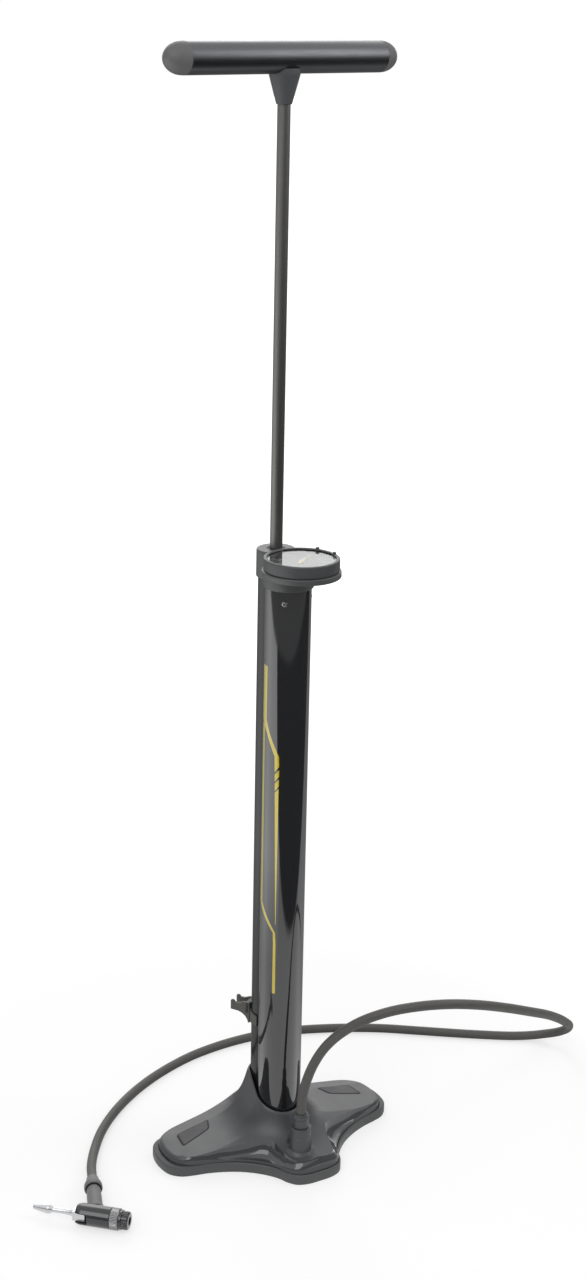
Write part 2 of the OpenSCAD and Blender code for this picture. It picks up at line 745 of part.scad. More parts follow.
module sector_gear() {
    reach = 5;
    inner_r = module_size * (sector_teeth / 2 - 1.15) - 2;
    step = 360 / sector_teeth;
    color("#c8a050")
    at_gauge(gear_z) translate([sector_at[0], sector_at[1], 0]) rotate([0, 0, -90 - sector_swing / 2])
    difference() {
        union() {
            linear_extrude(gear_t) polygon(concat(
                [for (k = [-reach:reach - 1]) each tooth(sector_teeth, (k + 0.5) * step)],
                [for (k = [reach:-1:-reach]) inner_r * [cos(k * step), sin(k * step)]]));
            linear_extrude(gear_t) polygon([[0, -2], [inner_r + 1, -4], [inner_r + 1, 4], [0, 2]]);
            cylinder(r = 3, h = gear_t);
        }
        translate([0, 0, -1]) cylinder(r = 1.2 + fit, h = gear_t + 2);
    }
}

module pinion() {
    color("#c8a050")
    at_gauge(gear_z) {
        rotate([0, 0, 90 + sector_swing / 2 * sector_teeth / pinion_teeth]) linear_extrude(gear_t)
            polygon([for (k = [0:pinion_teeth - 1]) each tooth(pinion_teeth, k * 360 / pinion_teeth)]);
        cylinder(r = 1, h = dial_z + dial_t + 0.6 - gear_z);
    }
}

module gauge_dial() {
    color("#e8e8e4") at_gauge(dial_z) ring(case_r, 1 + fit, dial_t);
}

module gauge_needle() {
    color("#d8a020")
    at_gauge(dial_z + dial_t + 0.6) rotate([0, 0, needle_turn]) {
        cylinder(r = 2.6, h = 1.2);
        linear_extrude(0.8) polygon([[-9, -1.4], [0, -1.1], [needle_len, -0.35], [needle_len, 0.35], [0, 1.1], [-9, 1.4]]);
    }
}

module lens_spacer() {
    color("#3a3c3e") at_gauge(dial_z + dial_t)
        ring(case_r, case_r - 1.2, glass_top - glass_t - dial_z - dial_t);
}

module gauge_lens() {
    color([0.9, 0.95, 1, 0.35]) at_gauge(glass_top - glass_t) cylinder(r = case_r, h = glass_t);
}

module gauge_bezel() {
    color("#3a3c3e")
    at_gauge(bezel_z)
    difference() {
        union() {
            cylinder(r = bezel_r, h = bezel_h - 1);
            translate([0, 0, bezel_h - 1]) cylinder(r1 = bezel_r, r2 = bezel_r - 1, h = 1);
        }
        translate([0, 0, -1]) cylinder(r = case_r + gap, h = glass_top - bezel_z + gap + 1);
        cylinder(r = bezel_r - 4, h = bezel_h + 1);
    }
}

module bezel_markers() {
    color("#b03a30")
    at_gauge(bezel_z + bezel_h) for (a = [0, 38]) rotate([0, 0, a]) translate([bezel_r - 2.6, -1.6, 0])
        cube([1.6, 3.2, 1.8]);
}

// ---- clip ----

// Half of the opening in the band, which faces the tank
clip_open = 64;
module hose_clip() {
    jaw_h = 12;
    jaw_t = 3;
    band_h = 12;
    color("#2c2e30")
    rotate([0, 0, clip_turn]) translate([0, 0, clip_z]) {
        translate([0, 0, -jaw_h / 2 - 6]) difference() {
            ring(barrel_r + 1.8, barrel_r + fit, band_h);
            rotate([0, 0, -90 - clip_turn]) for (side = [0, 1]) mirror([0, side, 0]) translate([0, 0, -1])
                rotate_extrude(angle = clip_open) translate([10, 0]) square([20, band_h + 2]);
        }
        translate([barrel_r + 0.6, -clip_gap / 2 - jaw_t, -jaw_h / 2])
            cube([6, clip_gap + 2 * jaw_t, jaw_h]);
        for (side = [-1, 1]) translate([barrel_r + 4, side * (clip_gap + jaw_t) / 2 - jaw_t / 2, -jaw_h / 2])
            cube([clip_reach - barrel_r - 4, jaw_t, jaw_h]);
        rotate([90, 0, 0]) translate([0, 0, -3]) linear_extrude(6)
            polygon([[barrel_r + 0.6, -17], [barrel_r + 2.6, -17], [barrel_r + 6.6, -jaw_h / 2],
                [barrel_r + 0.6, -jaw_h / 2]]);
    }
}

// ---- hose and chuck ----

module hose() {
    color("#2c2e30") swept_tube(smooth_line(route, 2), hose_od / 2, 10, [1, 0, 0]);
}

module hose_ferrule() {
    color("#3a3c3e")
    at_stem(stem_end)
    difference() {
        rotate_extrude() polygon([[0, 0], [ferrule_r - 1, 0], [ferrule_r, 1.5], [ferrule_r, 6], [ferrule_r - 2, 12],
            [hose_od / 2 + 1.2, ferrule_end - stem_end], [0, ferrule_end - stem_end]]);
        translate([0, 0, ferrule_end - stem_end - 3]) cylinder(r = hose_od / 2 + 0.15, h = 10);
        translate([0, 0, -1]) cylinder(r = 2, h = 40);
    }
}

module chuck_stem() {
    color("#4a4d50")
    difference() {
        union() {
            at_stem(chuck_r - 3) cylinder(r = stem_r, h = stem_end - 2 - chuck_r + 3);
            at_stem(chuck_r - 1) cylinder(r = stem_r + 1.2, h = 4);
            at_stem(stem_end - 2) cylinder(r = stem_r - 1, h = 2);
        }
        at_chuck() along_x(body_back) cylinder(r = chuck_r, h = 60);
        at_stem(0) cylinder(r = 2, h = stem_end + 1);
    }
}

module chuck_body() {
    color("#1c1e20")
    difference() {
        at_chuck() along_x(body_back) union() {
            cylinder(r1 = chuck_r - 1.5, r2 = chuck_r, h = 3);
            translate([0, 0, 3]) cylinder(r = chuck_r, h = body_front - body_back - 3);
            cylinder(r = neck_r, h = ring_front - body_back + neck_in_cap);
        }
        at_chuck() translate([body_back - 1, -chuck_r, -slot_w / 2]) cube([slot_end - body_back + 1, chuck_od, slot_w]);
        at_chuck() along_x(slot_end - 1) cylinder(r = plunger_r + fit, h = 20);
        at_chuck() along_x(0) cylinder(r = chamber_r, h = 60);
        at_chuck() translate([pin_x, 0, 0]) cylinder(r = pin_r, h = chuck_od * 2, center = true);
        at_stem(0) cylinder(r = 2, h = chuck_r + 1);
    }
}

module chuck_ring() {
    knurls = 30;
    color("#c0c2c6")
    at_chuck() along_x(body_front)
    difference() {
        cylinder(r = chuck_r, h = ring_front - body_front);
        translate([0, 0, -1]) cylinder(r = neck_r + seat, h = 20);
        for (i = [0:knurls - 1]) rotate([0, 0, 360 * i / knurls]) translate([chuck_r + 0.5, 0, -1])
            cylinder(r = 0.9, h = 20, $fn = 16);
    }
}

module chuck_cap() {
    flutes = 12;
    flute_r = 1.6;
    flange_h = 3;
    tip_h = 1.5;
    cap_len = mouth_front - ring_front;
    color("#2a2c2e")
    at_chuck() along_x(ring_front) {
        ring(chuck_r - 1, neck_r + seat, neck_in_cap);
        translate([0, 0, neck_in_cap]) ring(chuck_r - 1, valve_r, flange_h - neck_in_cap);
        translate([0, 0, flange_h]) linear_extrude(cap_len - flange_h - tip_h) difference() {
            circle(r = chuck_r - 1.8);
            circle(r = valve_r);
            for (i = [0:flutes - 1]) rotate([0, 0, 360 * i / flutes]) translate([chuck_r - 0.6, 0])
                circle(r = flute_r, $fn = 20);
        }
        translate([0, 0, cap_len - tip_h]) difference() {
            cylinder(r1 = neck_r, r2 = neck_r - 0.8, h = tip_h);
            translate([0, 0, -1]) cylinder(r = valve_r, h = tip_h + 2);
        }
    }
}

module chuck_gasket() {
    color("#101112")
    at_chuck() along_x(body_front - 2) ring(chamber_r - fit, valve_r + seat, ring_front + neck_in_cap - body_front + 2);
}

module chuck_plunger() {
    color("#d8d8d0")
    at_chuck() along_x(pin_x + cam_r + cam_gap) {
        cylinder(r = plunger_r, h = -pin_x - cam_r - cam_gap + 3);
        translate([0, 0, -pin_x - cam_r - cam_gap + 3]) cylinder(r = chamber_r - 0.8, h = body_front - 6.7);
    }
}

module lever_pin() {
    color("#b9bcc0")
    at_chuck() translate([pin_x, 0, 0]) cylinder(r = pin_r, h = chuck_od - 4, center = true);
}

module chuck_lever() {
    rod_r_in = 2.3;
    grip_start = lever_len - 21;
    color("#c8cace")
    at_chuck() translate([pin_x, 0, 0]) rotate([90, 0, 0])
    difference() {
        union() {
            rotate([90, 0, 0]) cylinder(r = cam_r, h = slot_w - 2 * gap, center = true);
            translate([0, 0, cam_throw]) rotate([90, 0, 0]) cylinder(r = cam_r, h = slot_w - 2 * gap, center = true);
            rotate([0, -90, 0]) cylinder(r1 = 4.6, r2 = rod_r_in, h = 12);
            rotate([0, -90, 0]) cylinder(r = rod_r_in, h = lever_len - 10);
            translate([-grip_start, 0, 0]) rotate([0, -90, 0]) rotate_extrude() polygon([[0, 0], [rod_r_in, 0],
                [4.9, 4], [4.9, 5], [2.4, 20], [1.8, 21], [0, 21]]);
        }
        rotate([90, 0, 0]) cylinder(r = pin_r + fit, h = slot_w + 2, center = true);
    }
}

base_tray();
base_cover();
grip_pads();
base_screws();
valve_manifold();
socket_seals();
check_poppet();
check_spring();
outlet_elbow();
hose_nut();
barrel_tube();
barrel_cap();
rod_bushing();
rod_wiper();
piston_head();
piston_cup();
top_bumper();
piston_bolt();
piston_rod();
handle_neck();
handle_core();
handle_nut();
handle_tube();
handle_caps();
tank_tube();
tank_plug();
tank_seal();
tank_screws();
gauge_housing();
gauge_stem();
gauge_case();
bourdon_tube();
sector_post();
sector_gear();
pinion();
gauge_dial();
gauge_needle();
lens_spacer();
gauge_lens();
gauge_bezel();
bezel_markers();
hose_clip();
hose();
hose_ferrule();
chuck_stem();
chuck_body();
chuck_ring();
chuck_cap();
chuck_gasket();
chuck_plunger();
lever_pin();
chuck_lever();
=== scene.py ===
import json
import math

import bmesh
import bpy
from mathutils import Matrix, Vector


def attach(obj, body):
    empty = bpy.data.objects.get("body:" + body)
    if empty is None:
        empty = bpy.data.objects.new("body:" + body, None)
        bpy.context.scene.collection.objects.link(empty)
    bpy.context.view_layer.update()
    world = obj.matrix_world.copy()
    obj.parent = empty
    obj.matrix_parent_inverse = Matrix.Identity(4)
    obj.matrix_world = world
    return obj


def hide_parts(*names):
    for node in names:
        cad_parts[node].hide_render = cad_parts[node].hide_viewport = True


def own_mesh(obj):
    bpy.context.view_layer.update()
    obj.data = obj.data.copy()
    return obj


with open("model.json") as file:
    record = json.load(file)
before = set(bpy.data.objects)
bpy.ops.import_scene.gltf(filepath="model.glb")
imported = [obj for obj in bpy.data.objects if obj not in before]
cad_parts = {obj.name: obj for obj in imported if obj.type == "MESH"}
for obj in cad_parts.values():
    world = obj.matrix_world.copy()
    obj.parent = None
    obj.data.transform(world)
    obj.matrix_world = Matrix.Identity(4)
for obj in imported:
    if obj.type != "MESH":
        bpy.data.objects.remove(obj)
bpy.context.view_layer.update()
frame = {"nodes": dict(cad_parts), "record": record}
print("frame: loaded", len(frame["nodes"]), "parts")

scene = bpy.context.scene
scene.view_settings.view_transform = "Standard"
mm = 0.001


# ---- shader tools ----

class Wire:
    # one socket of a material; an expression on wires adds its Math nodes
    def __init__(self, paint, socket):
        self.paint, self.socket = paint, socket

    def math(self, operation, *values):
        return self.paint.node("ShaderNodeMath", {"operation": operation}, dict(enumerate(values)))

    def __add__(self, other):
        return self.math("ADD", self, other)

    def __sub__(self, other):
        return self.math("SUBTRACT", self, other)

    def __rsub__(self, other):
        return self.math("SUBTRACT", other, self)

    def __mul__(self, other):
        return self.math("MULTIPLY", self, other)

    def __truediv__(self, other):
        return self.math("DIVIDE", self, other)

    def __lt__(self, other):
        return self.math("LESS_THAN", self, other)

    def __gt__(self, other):
        return self.math("GREATER_THAN", self, other)

    __radd__ = __add__
    __rmul__ = __mul__


class Paint:
    # the node tree of a material or of the world
    def __init__(self, tree):
        self.tree = tree
        tree.nodes.clear()

    def node(self, kind, settings=None, sockets=None, out=0):
        made = self.tree.nodes.new(kind)
        for key, value in (settings or {}).items():
            if key == "stops":
                ramp = made.color_ramp.elements
                while len(ramp) < len(value):
                    ramp.new(0.5)
                for stop, (at, shade) in zip(ramp, value):
                    stop.position = at
                    stop.color = grey(shade)
            else:
                setattr(made, key, value)
        for key, value in (sockets or {}).items():
            if isinstance(value, Wire):
                self.tree.links.new(value.socket, made.inputs[key])
            else:
                made.inputs[key].default_value = value
        return Wire(self, made.outputs[out]) if made.outputs else None

    def place(self, stretch=(1, 1, 1)):
        point = self.node("ShaderNodeTexCoord", out="Object")
        return self.node("ShaderNodeVectorMath", {"operation": "MULTIPLY"}, {0: point, 1: stretch})

    def noise(self, scale, detail, stretch=(1, 1, 1)):
        return self.node("ShaderNodeTexNoise", {},
                         {"Vector": self.place(stretch), "Scale": scale, "Detail": detail})

    def axis(self, vector, letter):
        return self.node("ShaderNodeSeparateXYZ", {}, {0: vector}, letter)

    def along(self, vector, degrees):
        # how far the vector reaches in a level direction
        way = (math.cos(math.radians(degrees)), math.sin(math.radians(degrees)), 0)
        return self.node("ShaderNodeVectorMath", {"operation": "DOT_PRODUCT"}, {0: vector, 1: way}, "Value")

    def ramp(self, value, *stops):
        return self.node("ShaderNodeValToRGB", {"stops": stops}, {"Fac": value})

    def mix(self, factor, a, b):
        return self.node("ShaderNodeMix", {"data_type": "RGBA"}, {0: factor, 6: a, 7: b}, out=2)

    def bump(self, height, depth, strength=1):
        return self.node("ShaderNodeBump", {}, {"Height": height, "Distance": depth, "Strength": strength})


def grey(shade):
    return shade, shade, shade, 1


def rgb(r, g, b):
    # a colour as it shows on a screen, 0 to 255, turned into a linear one
    return tuple(((v / 255 + 0.055) / 1.055) ** 2.4 if v > 10 else v / 255 / 12.92 for v in (r, g, b)) + (1,)


def newObject(name, data):
    made = bpy.data.objects.new(name, data)
    scene.collection.objects.link(made)
    return made


# ---- camera ----

camera = {"at": (-0.8317, -1.7106, 1.180), "forward": (0.4244, 0.8511, -0.3090),
          "right": (0.8949, -0.4462, 0), "roll": -1.2, "focal": 56.25, "sensor": 36, "near": 0.05, "far": 60}


def makeCamera():
    lens = bpy.data.cameras.new("view")
    lens.lens = camera["focal"]
    lens.sensor_width = camera["sensor"]
    lens.clip_start = camera["near"]
    lens.clip_end = camera["far"]
    forward = Vector(camera["forward"]).normalized()
    level = Vector(camera["right"]).normalized()
    down = forward.cross(level)
    roll = math.radians(camera["roll"])
    right = level * math.cos(roll) + down * math.sin(roll)
    up = level * math.sin(roll) - down * math.cos(roll)
    facing = Matrix((right, up, -forward)).transposed().to_4x4()
    scene.camera = newObject("view", lens)
    scene.camera.matrix_world = Matrix.Translation(camera["at"]) @ facing


makeCamera()
print("camera: placed")


# ---- studio ----

studio = {"skyLight": 0.62, "floorAlbedo": 0.8, "floorGlow": 0.62, "floorShade": 0.4,
          "farFloor": 0.484, "farFacing": -78, "brightFacing": 134, "bright": 1.9, "dim": 0.05,
          "behind": 64, "glare": 1.8, "behindFloor": 0.25, "nearFloor": 1, "edge": 8,
          "floorSize": 40, "floorLow": 0.0002,
          # each lamp: place, point it faces, width, power
          "lamps": {"keyLamp": [(-1.9, -1.7, 2.6), (0, 0, 0.4), 2.3, 35],
                    "fillLamp": [(2.0, -0.9, 1.9), (0, 0, 0.4), 1.2, 12],
                    "backLamp": [(0.6, 2.2, 2.2), (0, 0, 0.5), 1.4, 12]}}


def rays(paint):
    # 1 where the surface is seen directly, in gloss, and through glass
    return [paint.node("ShaderNodeLightPath", out="Is %s Ray" % kind)
            for kind in ("Camera", "Glossy", "Transmission")]


def makeSky():
    scene.world = bpy.data.worlds.new("studio")
    scene.world.use_nodes = True
    sky = Paint(scene.world.node_tree)
    direct, glossy, through = rays(sky)
    facing = sky.node("ShaderNodeTexCoord", out="Generated")
    height = sky.axis(facing, "Z")
    room = sky.ramp(height, (0, 0.3), (0.3, 0.34), (0.44, 0.3), (0.49, 0.12), (0.53, 0.95), (1, 1))
    back = sky.along(facing, studio["behind"])
    room = sky.mix(sky.ramp(back, (0.7, 0), (0.85, 1)), room, grey(studio["glare"]))
    light = sky.mix(glossy, grey(studio["skyLight"]), room)
    colour = sky.mix(direct + through, light, grey(1))
    shown = sky.node("ShaderNodeBackground", {}, {"Color": colour, "Strength": 1})
    sky.node("ShaderNodeOutputWorld", {}, {"Surface": shown})


def makeFloor():
    material = bpy.data.materials.new("floorPaper")
    material.use_nodes = True
    floor = Paint(material.node_tree)
    direct, glossy, through = rays(floor)
    point = floor.node("ShaderNodeNewGeometry", out="Position")
    toFar = floor.along(point, studio["farFacing"]) - studio["farFloor"]
    far = floor.ramp(toFar * studio["edge"] + 0.5, (0.3, 0), (0.7, 1))
    side = floor.ramp(floor.along(point, studio["brightFacing"]) * studio["edge"] + 0.6, (0.3, 0), (0.7, 1))
    distance = floor.node("ShaderNodeVectorMath", {"operation": "LENGTH"}, {0: point}, "Value")
    # what gloss shows of the floor: brighter to one side, dimmer at the back and far in front
    paper = floor.mix(side, grey(0.8), grey(studio["bright"]))
    paper = floor.mix(floor.ramp(distance, (0.35, 0), (0.8, 1)), grey(studio["nearFloor"]), paper)
    toBack = floor.along(point, studio["behind"]) / distance
    paper = floor.mix(floor.ramp(toBack, (0.05, 0), (0.8, 1)), paper, grey(studio["behindFloor"]))
    mirrored = floor.mix(far, paper, grey(studio["dim"]))
    lift = floor.mix(floor.ramp(distance * 0.25, (0.1, 0), (0.5, 1)), grey(1), grey(1.7))
    glow = floor.node("ShaderNodeEmission", {}, {"Color": lift, "Strength": studio["floorGlow"]})
    shade = floor.node("ShaderNodeBsdfDiffuse", {}, {"Color": grey(studio["floorShade"])})
    seen = floor.node("ShaderNodeAddShader", {}, {0: glow, 1: shade})
    real = floor.node("ShaderNodeBsdfDiffuse", {}, {"Color": grey(studio["floorAlbedo"])})
    reflected = floor.node("ShaderNodeEmission", {}, {"Color": mirrored, "Strength": 1})
    other = floor.node("ShaderNodeMixShader", {}, {0: glossy, 1: real, 2: reflected})
    whole = floor.node("ShaderNodeMixShader", {}, {0: direct + through, 1: other, 2: seen})
    floor.node("ShaderNodeOutputMaterial", {}, {"Surface": whole})
    bpy.ops.mesh.primitive_plane_add(size=studio["floorSize"], location=(0, 0, -studio["floorLow"]))
    plane = bpy.context.object
    plane.name = "floor"
    plane.data.materials.append(material)


def makeLamp(name, at, aim, size, power):
    lamp = bpy.data.lights.new(name, "AREA")
    lamp.size = size
    lamp.energy = power
    made = newObject(name, lamp)
    made.location = at
    made.rotation_euler = (Vector(aim) - Vector(at)).to_track_quat("-Z", "Y").to_euler()


makeSky()
makeFloor()
for lampName, lampValues in studio["lamps"].items():
    makeLamp(lampName, *lampValues)
print("studio: lit")


# ---- finishes ----

looks = {}


def start(name):
    looks[name] = bpy.data.materials.new(name)
    looks[name].use_nodes = True
    return Paint(looks[name].node_tree)


def finish(p, colour, roughness, metallic=0, coat=0, normal=None, **more):
    # colour, roughness and normal may be wires of the same paint
    sockets = {"Base Color": colour, "Roughness": roughness, "Metallic": metallic, "Coat Weight": coat,
               "Coat Roughness": 0.06, **more}
    if normal:
        sockets["Normal"] = normal
    surface = p.node("ShaderNodeBsdfPrincipled", {}, sockets)
    p.node("ShaderNodeOutputMaterial", {}, {"Surface": surface})


def moulded(name, low, high, grain, depth, rough, coat=0):
    # moulded plastic or rubber: slow change of tone and gloss, fine grain
    p = start(name)
    cloud = p.noise(60, 4)
    fine = p.noise(grain, 2)
    finish(p, p.mix(cloud, low, high), p.ramp(cloud, (0.3, rough[0]), (0.7, rough[1])), coat=coat,
           normal=p.bump(fine, depth))


def metal(name, low, high, rough, stretch=(1, 1, 1)):
    # plated or drawn metal; its fine marks run where the stretch is small
    p = start(name)
    line = p.noise(900, 2, stretch)
    cloud = p.noise(25, 3)
    finish(p, p.mix(cloud, (*low, 1), (*high, 1)), p.ramp(line, (0.25, rough[0]), (0.75, rough[1])),
           metallic=1, normal=p.bump(line, 0.00002, 0.5))


def enamel(p, low, high, rough, ink=None, **more):
    # glossy black paint with a slow change of tone and a faint orange peel
    cloud = p.noise(9, 3)
    colour = p.mix(cloud, (*low, 1), (*high, 1))
    if ink:
        colour = p.mix(ink, colour, stripes["yellow"])
    gloss = p.ramp(cloud, (0.3, rough[0]), (0.8, rough[1]))
    finish(p, colour, gloss, normal=p.bump(p.noise(420, 2), 0.000012, 0.6), **more)


stripes = {"centreY": -29.5, "yellow": rgb(196, 176, 34),
           # each line from its top: height, then azimuth of its left and right edge
           "lines": [[(547, 164, 187), (491, 164, 187), (478, 189, 200), (455, 216, 228), (440, 217, 229),
                      (271, 226, 227)],
                     [(486, 164, 178), (292, 165, 180), (262, 220, 226), (250, 221, 228), (193, 221, 229)]],
           # slanted cuts: their low and high edge where the azimuth is cutAzimuth
           "cuts": [(438, 441), (428, 430.5), (418, 420)], "cutAzimuth": 222, "cutSlope": 0.5, "cutFrom": 200}


def tankPaint():
    p = start("tankEnamel")
    point = p.place()
    x, y, z = [p.axis(point, letter) for letter in "XYZ"]
    z = z * (1 / mm)
    turn = p.node("ShaderNodeMath", {"operation": "ARCTAN2"}, {0: y - stripes["centreY"] * mm, 1: x})
    degrees = turn * (180 / math.pi) + (turn < 0) * 360
    ink = None
    for line in stripes["lines"]:
        for (zTop, leftTop, rightTop), (zLow, leftLow, rightLow) in zip(line, line[1:]):
            down = (zTop - z) / (zTop - zLow)
            inside = (z < zTop) * (z > zLow - 0.01)
            inside = inside * (degrees > down * (leftLow - leftTop) + leftTop)
            inside = inside * (degrees < down * (rightLow - rightTop) + rightTop)
            ink = inside if ink is None else ink + inside
    slant = z - (degrees - stripes["cutAzimuth"]) * stripes["cutSlope"]
    for low, high in stripes["cuts"]:
        ink = ink * (1 - (slant > low) * (slant < high) * (degrees > stripes["cutFrom"]))
    ink = p.node("ShaderNodeMath", {"operation": "MINIMUM"}, {0: ink, 1: 1})
    enamel(p, (0.012, 0.0125, 0.014), (0.017, 0.0175, 0.019), (0.05, 0.09), ink, coat=1)


def barrelPaint():
    enamel(start("barrelEnamel"), (0.014, 0.0145, 0.016), (0.02, 0.0205, 0.022), (0.1, 0.16),
           **{"Specular IOR Level": 0.35})


def clearLens():
    p = start("clearLens")
    haze = p.noise(40, 2)
    finish(p, (0.97, 0.98, 0.98, 1), p.ramp(haze, (0.3, 0.02), (0.8, 0.06)),
           **{"Transmission Weight": 1, "IOR": 1.5})


tankPaint()
barrelPaint()
moulded("traySkin", rgb(72, 73, 74), rgb(80, 81, 82), 1900, 0.00006, (0.5, 0.6))
moulded("coverSkin", rgb(61, 62, 64), rgb(68, 69, 71), 1500, 0.00003, (0.36, 0.44))
moulded("coveSkin", rgb(50, 53, 56), rgb(56, 59, 62), 300, 0.00002, (0.1, 0.15), coat=0.6)
moulded("gripSkin", rgb(70, 70, 72), rgb(78, 78, 80), 1300, 0.00018, (0.55, 0.66))
moulded("housingSkin", rgb(68, 70, 70), rgb(76, 78, 78), 1600, 0.00004, (0.4, 0.5))
moulded("bezelSkin", rgb(62, 63, 65), rgb(69, 70, 72), 1600, 0.00005, (0.42, 0.5))
moulded("capSkin", rgb(90, 89, 90), rgb(100, 99, 100), 1500, 0.00005, (0.5, 0.6))
moulded("neckSkin", rgb(68, 69, 71), rgb(76, 77, 79), 1700, 0.00006, (0.5, 0.58))
moulded("clipSkin", rgb(70, 69, 67), rgb(78, 77, 75), 1500, 0.00005, (0.45, 0.55))
moulded("hoseSkin", rgb(72, 71, 69), rgb(82, 81, 79), 1100, 0.00006, (0.5, 0.62))
moulded("stemSkin", rgb(98, 98, 99), rgb(108, 108, 109), 1400, 0.00005, (0.45, 0.55))
moulded("chuckSkin", rgb(34, 35, 38), rgb(40, 41, 44), 500, 0.00002, (0.12, 0.2), coat=0.5)
moulded("rubber", rgb(30, 30, 31), rgb(38, 38, 39), 1200, 0.00005, (0.5, 0.65))
moulded("nylon", rgb(214, 210, 196), rgb(226, 222, 210), 900, 0.00004, (0.4, 0.5))
metal("rodSteel", (0.17, 0.168, 0.164), (0.19, 0.188, 0.184), (0.46, 0.54), (1, 1, 0.02))
metal("handleMetal", (0.13, 0.133, 0.14), (0.145, 0.148, 0.155), (0.34, 0.42), (0.05, 0.05, 1))
metal("zinc", (0.55, 0.56, 0.58), (0.66, 0.67, 0.69), (0.22, 0.36))
metal("silver", (0.56, 0.565, 0.58), (0.64, 0.645, 0.66), (0.24, 0.34))
metal("ringMetal", (0.24, 0.24, 0.245), (0.31, 0.31, 0.315), (0.3, 0.42))
metal("darkSteel", (0.3, 0.3, 0.305), (0.38, 0.38, 0.385), (0.25, 0.35))
metal("alloy", (0.6, 0.61, 0.63), (0.7, 0.71, 0.73), (0.3, 0.42))
metal("brass", (0.62, 0.44, 0.16), (0.74, 0.55, 0.24), (0.22, 0.34))
moulded("dialFace", rgb(30, 31, 33), rgb(36, 37, 39), 1500, 0.00003, (0.5, 0.6))
moulded("dialPrint", rgb(216, 216, 212), rgb(228, 228, 224), 900, 0.00002, (0.5, 0.6))
moulded("needleSkin", rgb(206, 178, 70), rgb(216, 190, 84), 900, 0.00002, (0.4, 0.5))
moulded("markerSkin", rgb(66, 67, 69), rgb(74, 75, 77), 1200, 0.00003, (0.35, 0.45))
# near-black: painted shade for the groove round the pads and the gap at the hose sleeve
moulded("darkGap", rgb(16, 17, 18), rgb(22, 23, 24), 900, 0.00003, (0.6, 0.7))
clearLens()
slotLooks = {"tray": "traySkin", "cover": "coverSkin", "grip": "gripSkin", "steel": "zinc", "nylon": "nylon",
             "black_rubber": "rubber", "tube_paint": "barrelEnamel", "housing": "housingSkin",
             "rod_finish": "rodSteel", "handle_metal": "handleMetal", "handle_plastic": "neckSkin",
             "alloy": "alloy", "brass": "brass", "dial": "dialFace", "needle": "needleSkin",
             "lens": "clearLens", "marker": "markerSkin", "hose_rubber": "hoseSkin",
             "chuck_black": "chuckSkin", "silver": "silver"}
nodeLooks = {"hose_clip": "clipSkin", "gauge_bezel": "bezelSkin", "chuck_stem": "stemSkin",
             "hose_ferrule": "stemSkin", "handle_caps": "capSkin", "outlet_elbow": "coverSkin",
             "hose_nut": "coverSkin", "tank_tube": "tankEnamel", "chuck_ring": "ringMetal",
             "tank_screws": "darkSteel"}
for part in frame["record"]["subparts"]:
    shown = frame["nodes"][part["node"]]
    shown.data.materials.clear()
    shown.data.materials.append(looks[nodeLooks.get(part["node"], slotLooks[part["material_slot"]])])
print("finishes:", len(looks))


# ---- mesh tools: sizes in millimetres ----

touching = 1e-6


def addPiece(name, mesh, look, nodes, body="root", sharp=32):
    for one in look if isinstance(look, tuple) else (look,):
        mesh.materials.append(looks[one])
    mesh.shade_smooth()
    mesh.set_sharp_from_angle(angle=math.radians(sharp))
    return register(newObject(name, mesh), nodes, body)


def register(piece, nodes, body="root"):
    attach(piece, body)
    if nodes:
        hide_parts(*nodes)
    return piece


def polar(radius, degrees):
    return radius * math.cos(math.radians(degrees)), radius * math.sin(math.radians(degrees))


def move(mesh, place):
    mesh.transform(Matrix.Translation(place.translation * mm) @ place.to_3x3().to_4x4())


def rework(mesh, work):
    made = bmesh.new()
    made.from_mesh(mesh)
    work(made)
    made.to_mesh(mesh)
    made.free()
    return mesh


def makeMesh(name, points, faces, place=None):
    mesh = bpy.data.meshes.new(name)
    mesh.from_pydata([tuple(c * mm for c in p) for p in points], [], faces)
    if place:
        move(mesh, place)

    def close(made):
        bmesh.ops.remove_doubles(made, verts=made.verts, dist=touching)
        bmesh.ops.recalc_face_normals(made, faces=made.faces)
    return rework(mesh, close)


def joinMeshes(name, meshes):
    made = bmesh.new()
    for mesh in meshes:
        made.from_mesh(mesh)
    joined = bpy.data.meshes.new(name)
    made.to_mesh(joined)
    made.free()
    return joined


def loftFaces(rings, count, closed=False):
    faces = []
    for a in range(rings if closed else rings - 1):
        b = (a + 1) % rings
        for j in range(count):
            k = (j + 1) % count
            faces.append((a * count + j, a * count + k, b * count + k, b * count + j))
    return faces


def loft(name, rings, first=True, last=True, place=None):
    # rings of one count, joined in turn; the first and the last may be closed by a face
    count = len(rings[0])
    faces = loftFaces(len(rings), count)
    ends = [0] * first + [(len(rings) - 1) * count] * last
    faces += [tuple(range(end, end + count)) for end in ends]
    return makeMesh(name, [p for ring in rings for p in ring], faces, place)


def rounded(profile, radius, steps=4):
    # the closed or open line with its corners rounded; a third number on a point is its own radius
    points = []
    for i, corner in enumerate(profile):
        x, z = corner[:2]
        bend = corner[2] if len(corner) > 2 else radius
        before, after = profile[i - 1], profile[(i + 1) % len(profile)]
        a, b = Vector((before[0] - x, before[1] - z)), Vector((after[0] - x, after[1] - z))
        cut = min(bend, a.length * 0.45, b.length * 0.45)
        if cut < 0.01 or a.angle(b) > 3.1:
            points.append((x, z))
            continue
        start, end = a.normalized() * cut, b.normalized() * cut
        for s in range(steps + 1):
            t = s / steps
            points.append((x + start.x * (1 - t) ** 2 + end.x * t ** 2,
                           z + start.y * (1 - t) ** 2 + end.y * t ** 2))
    return points


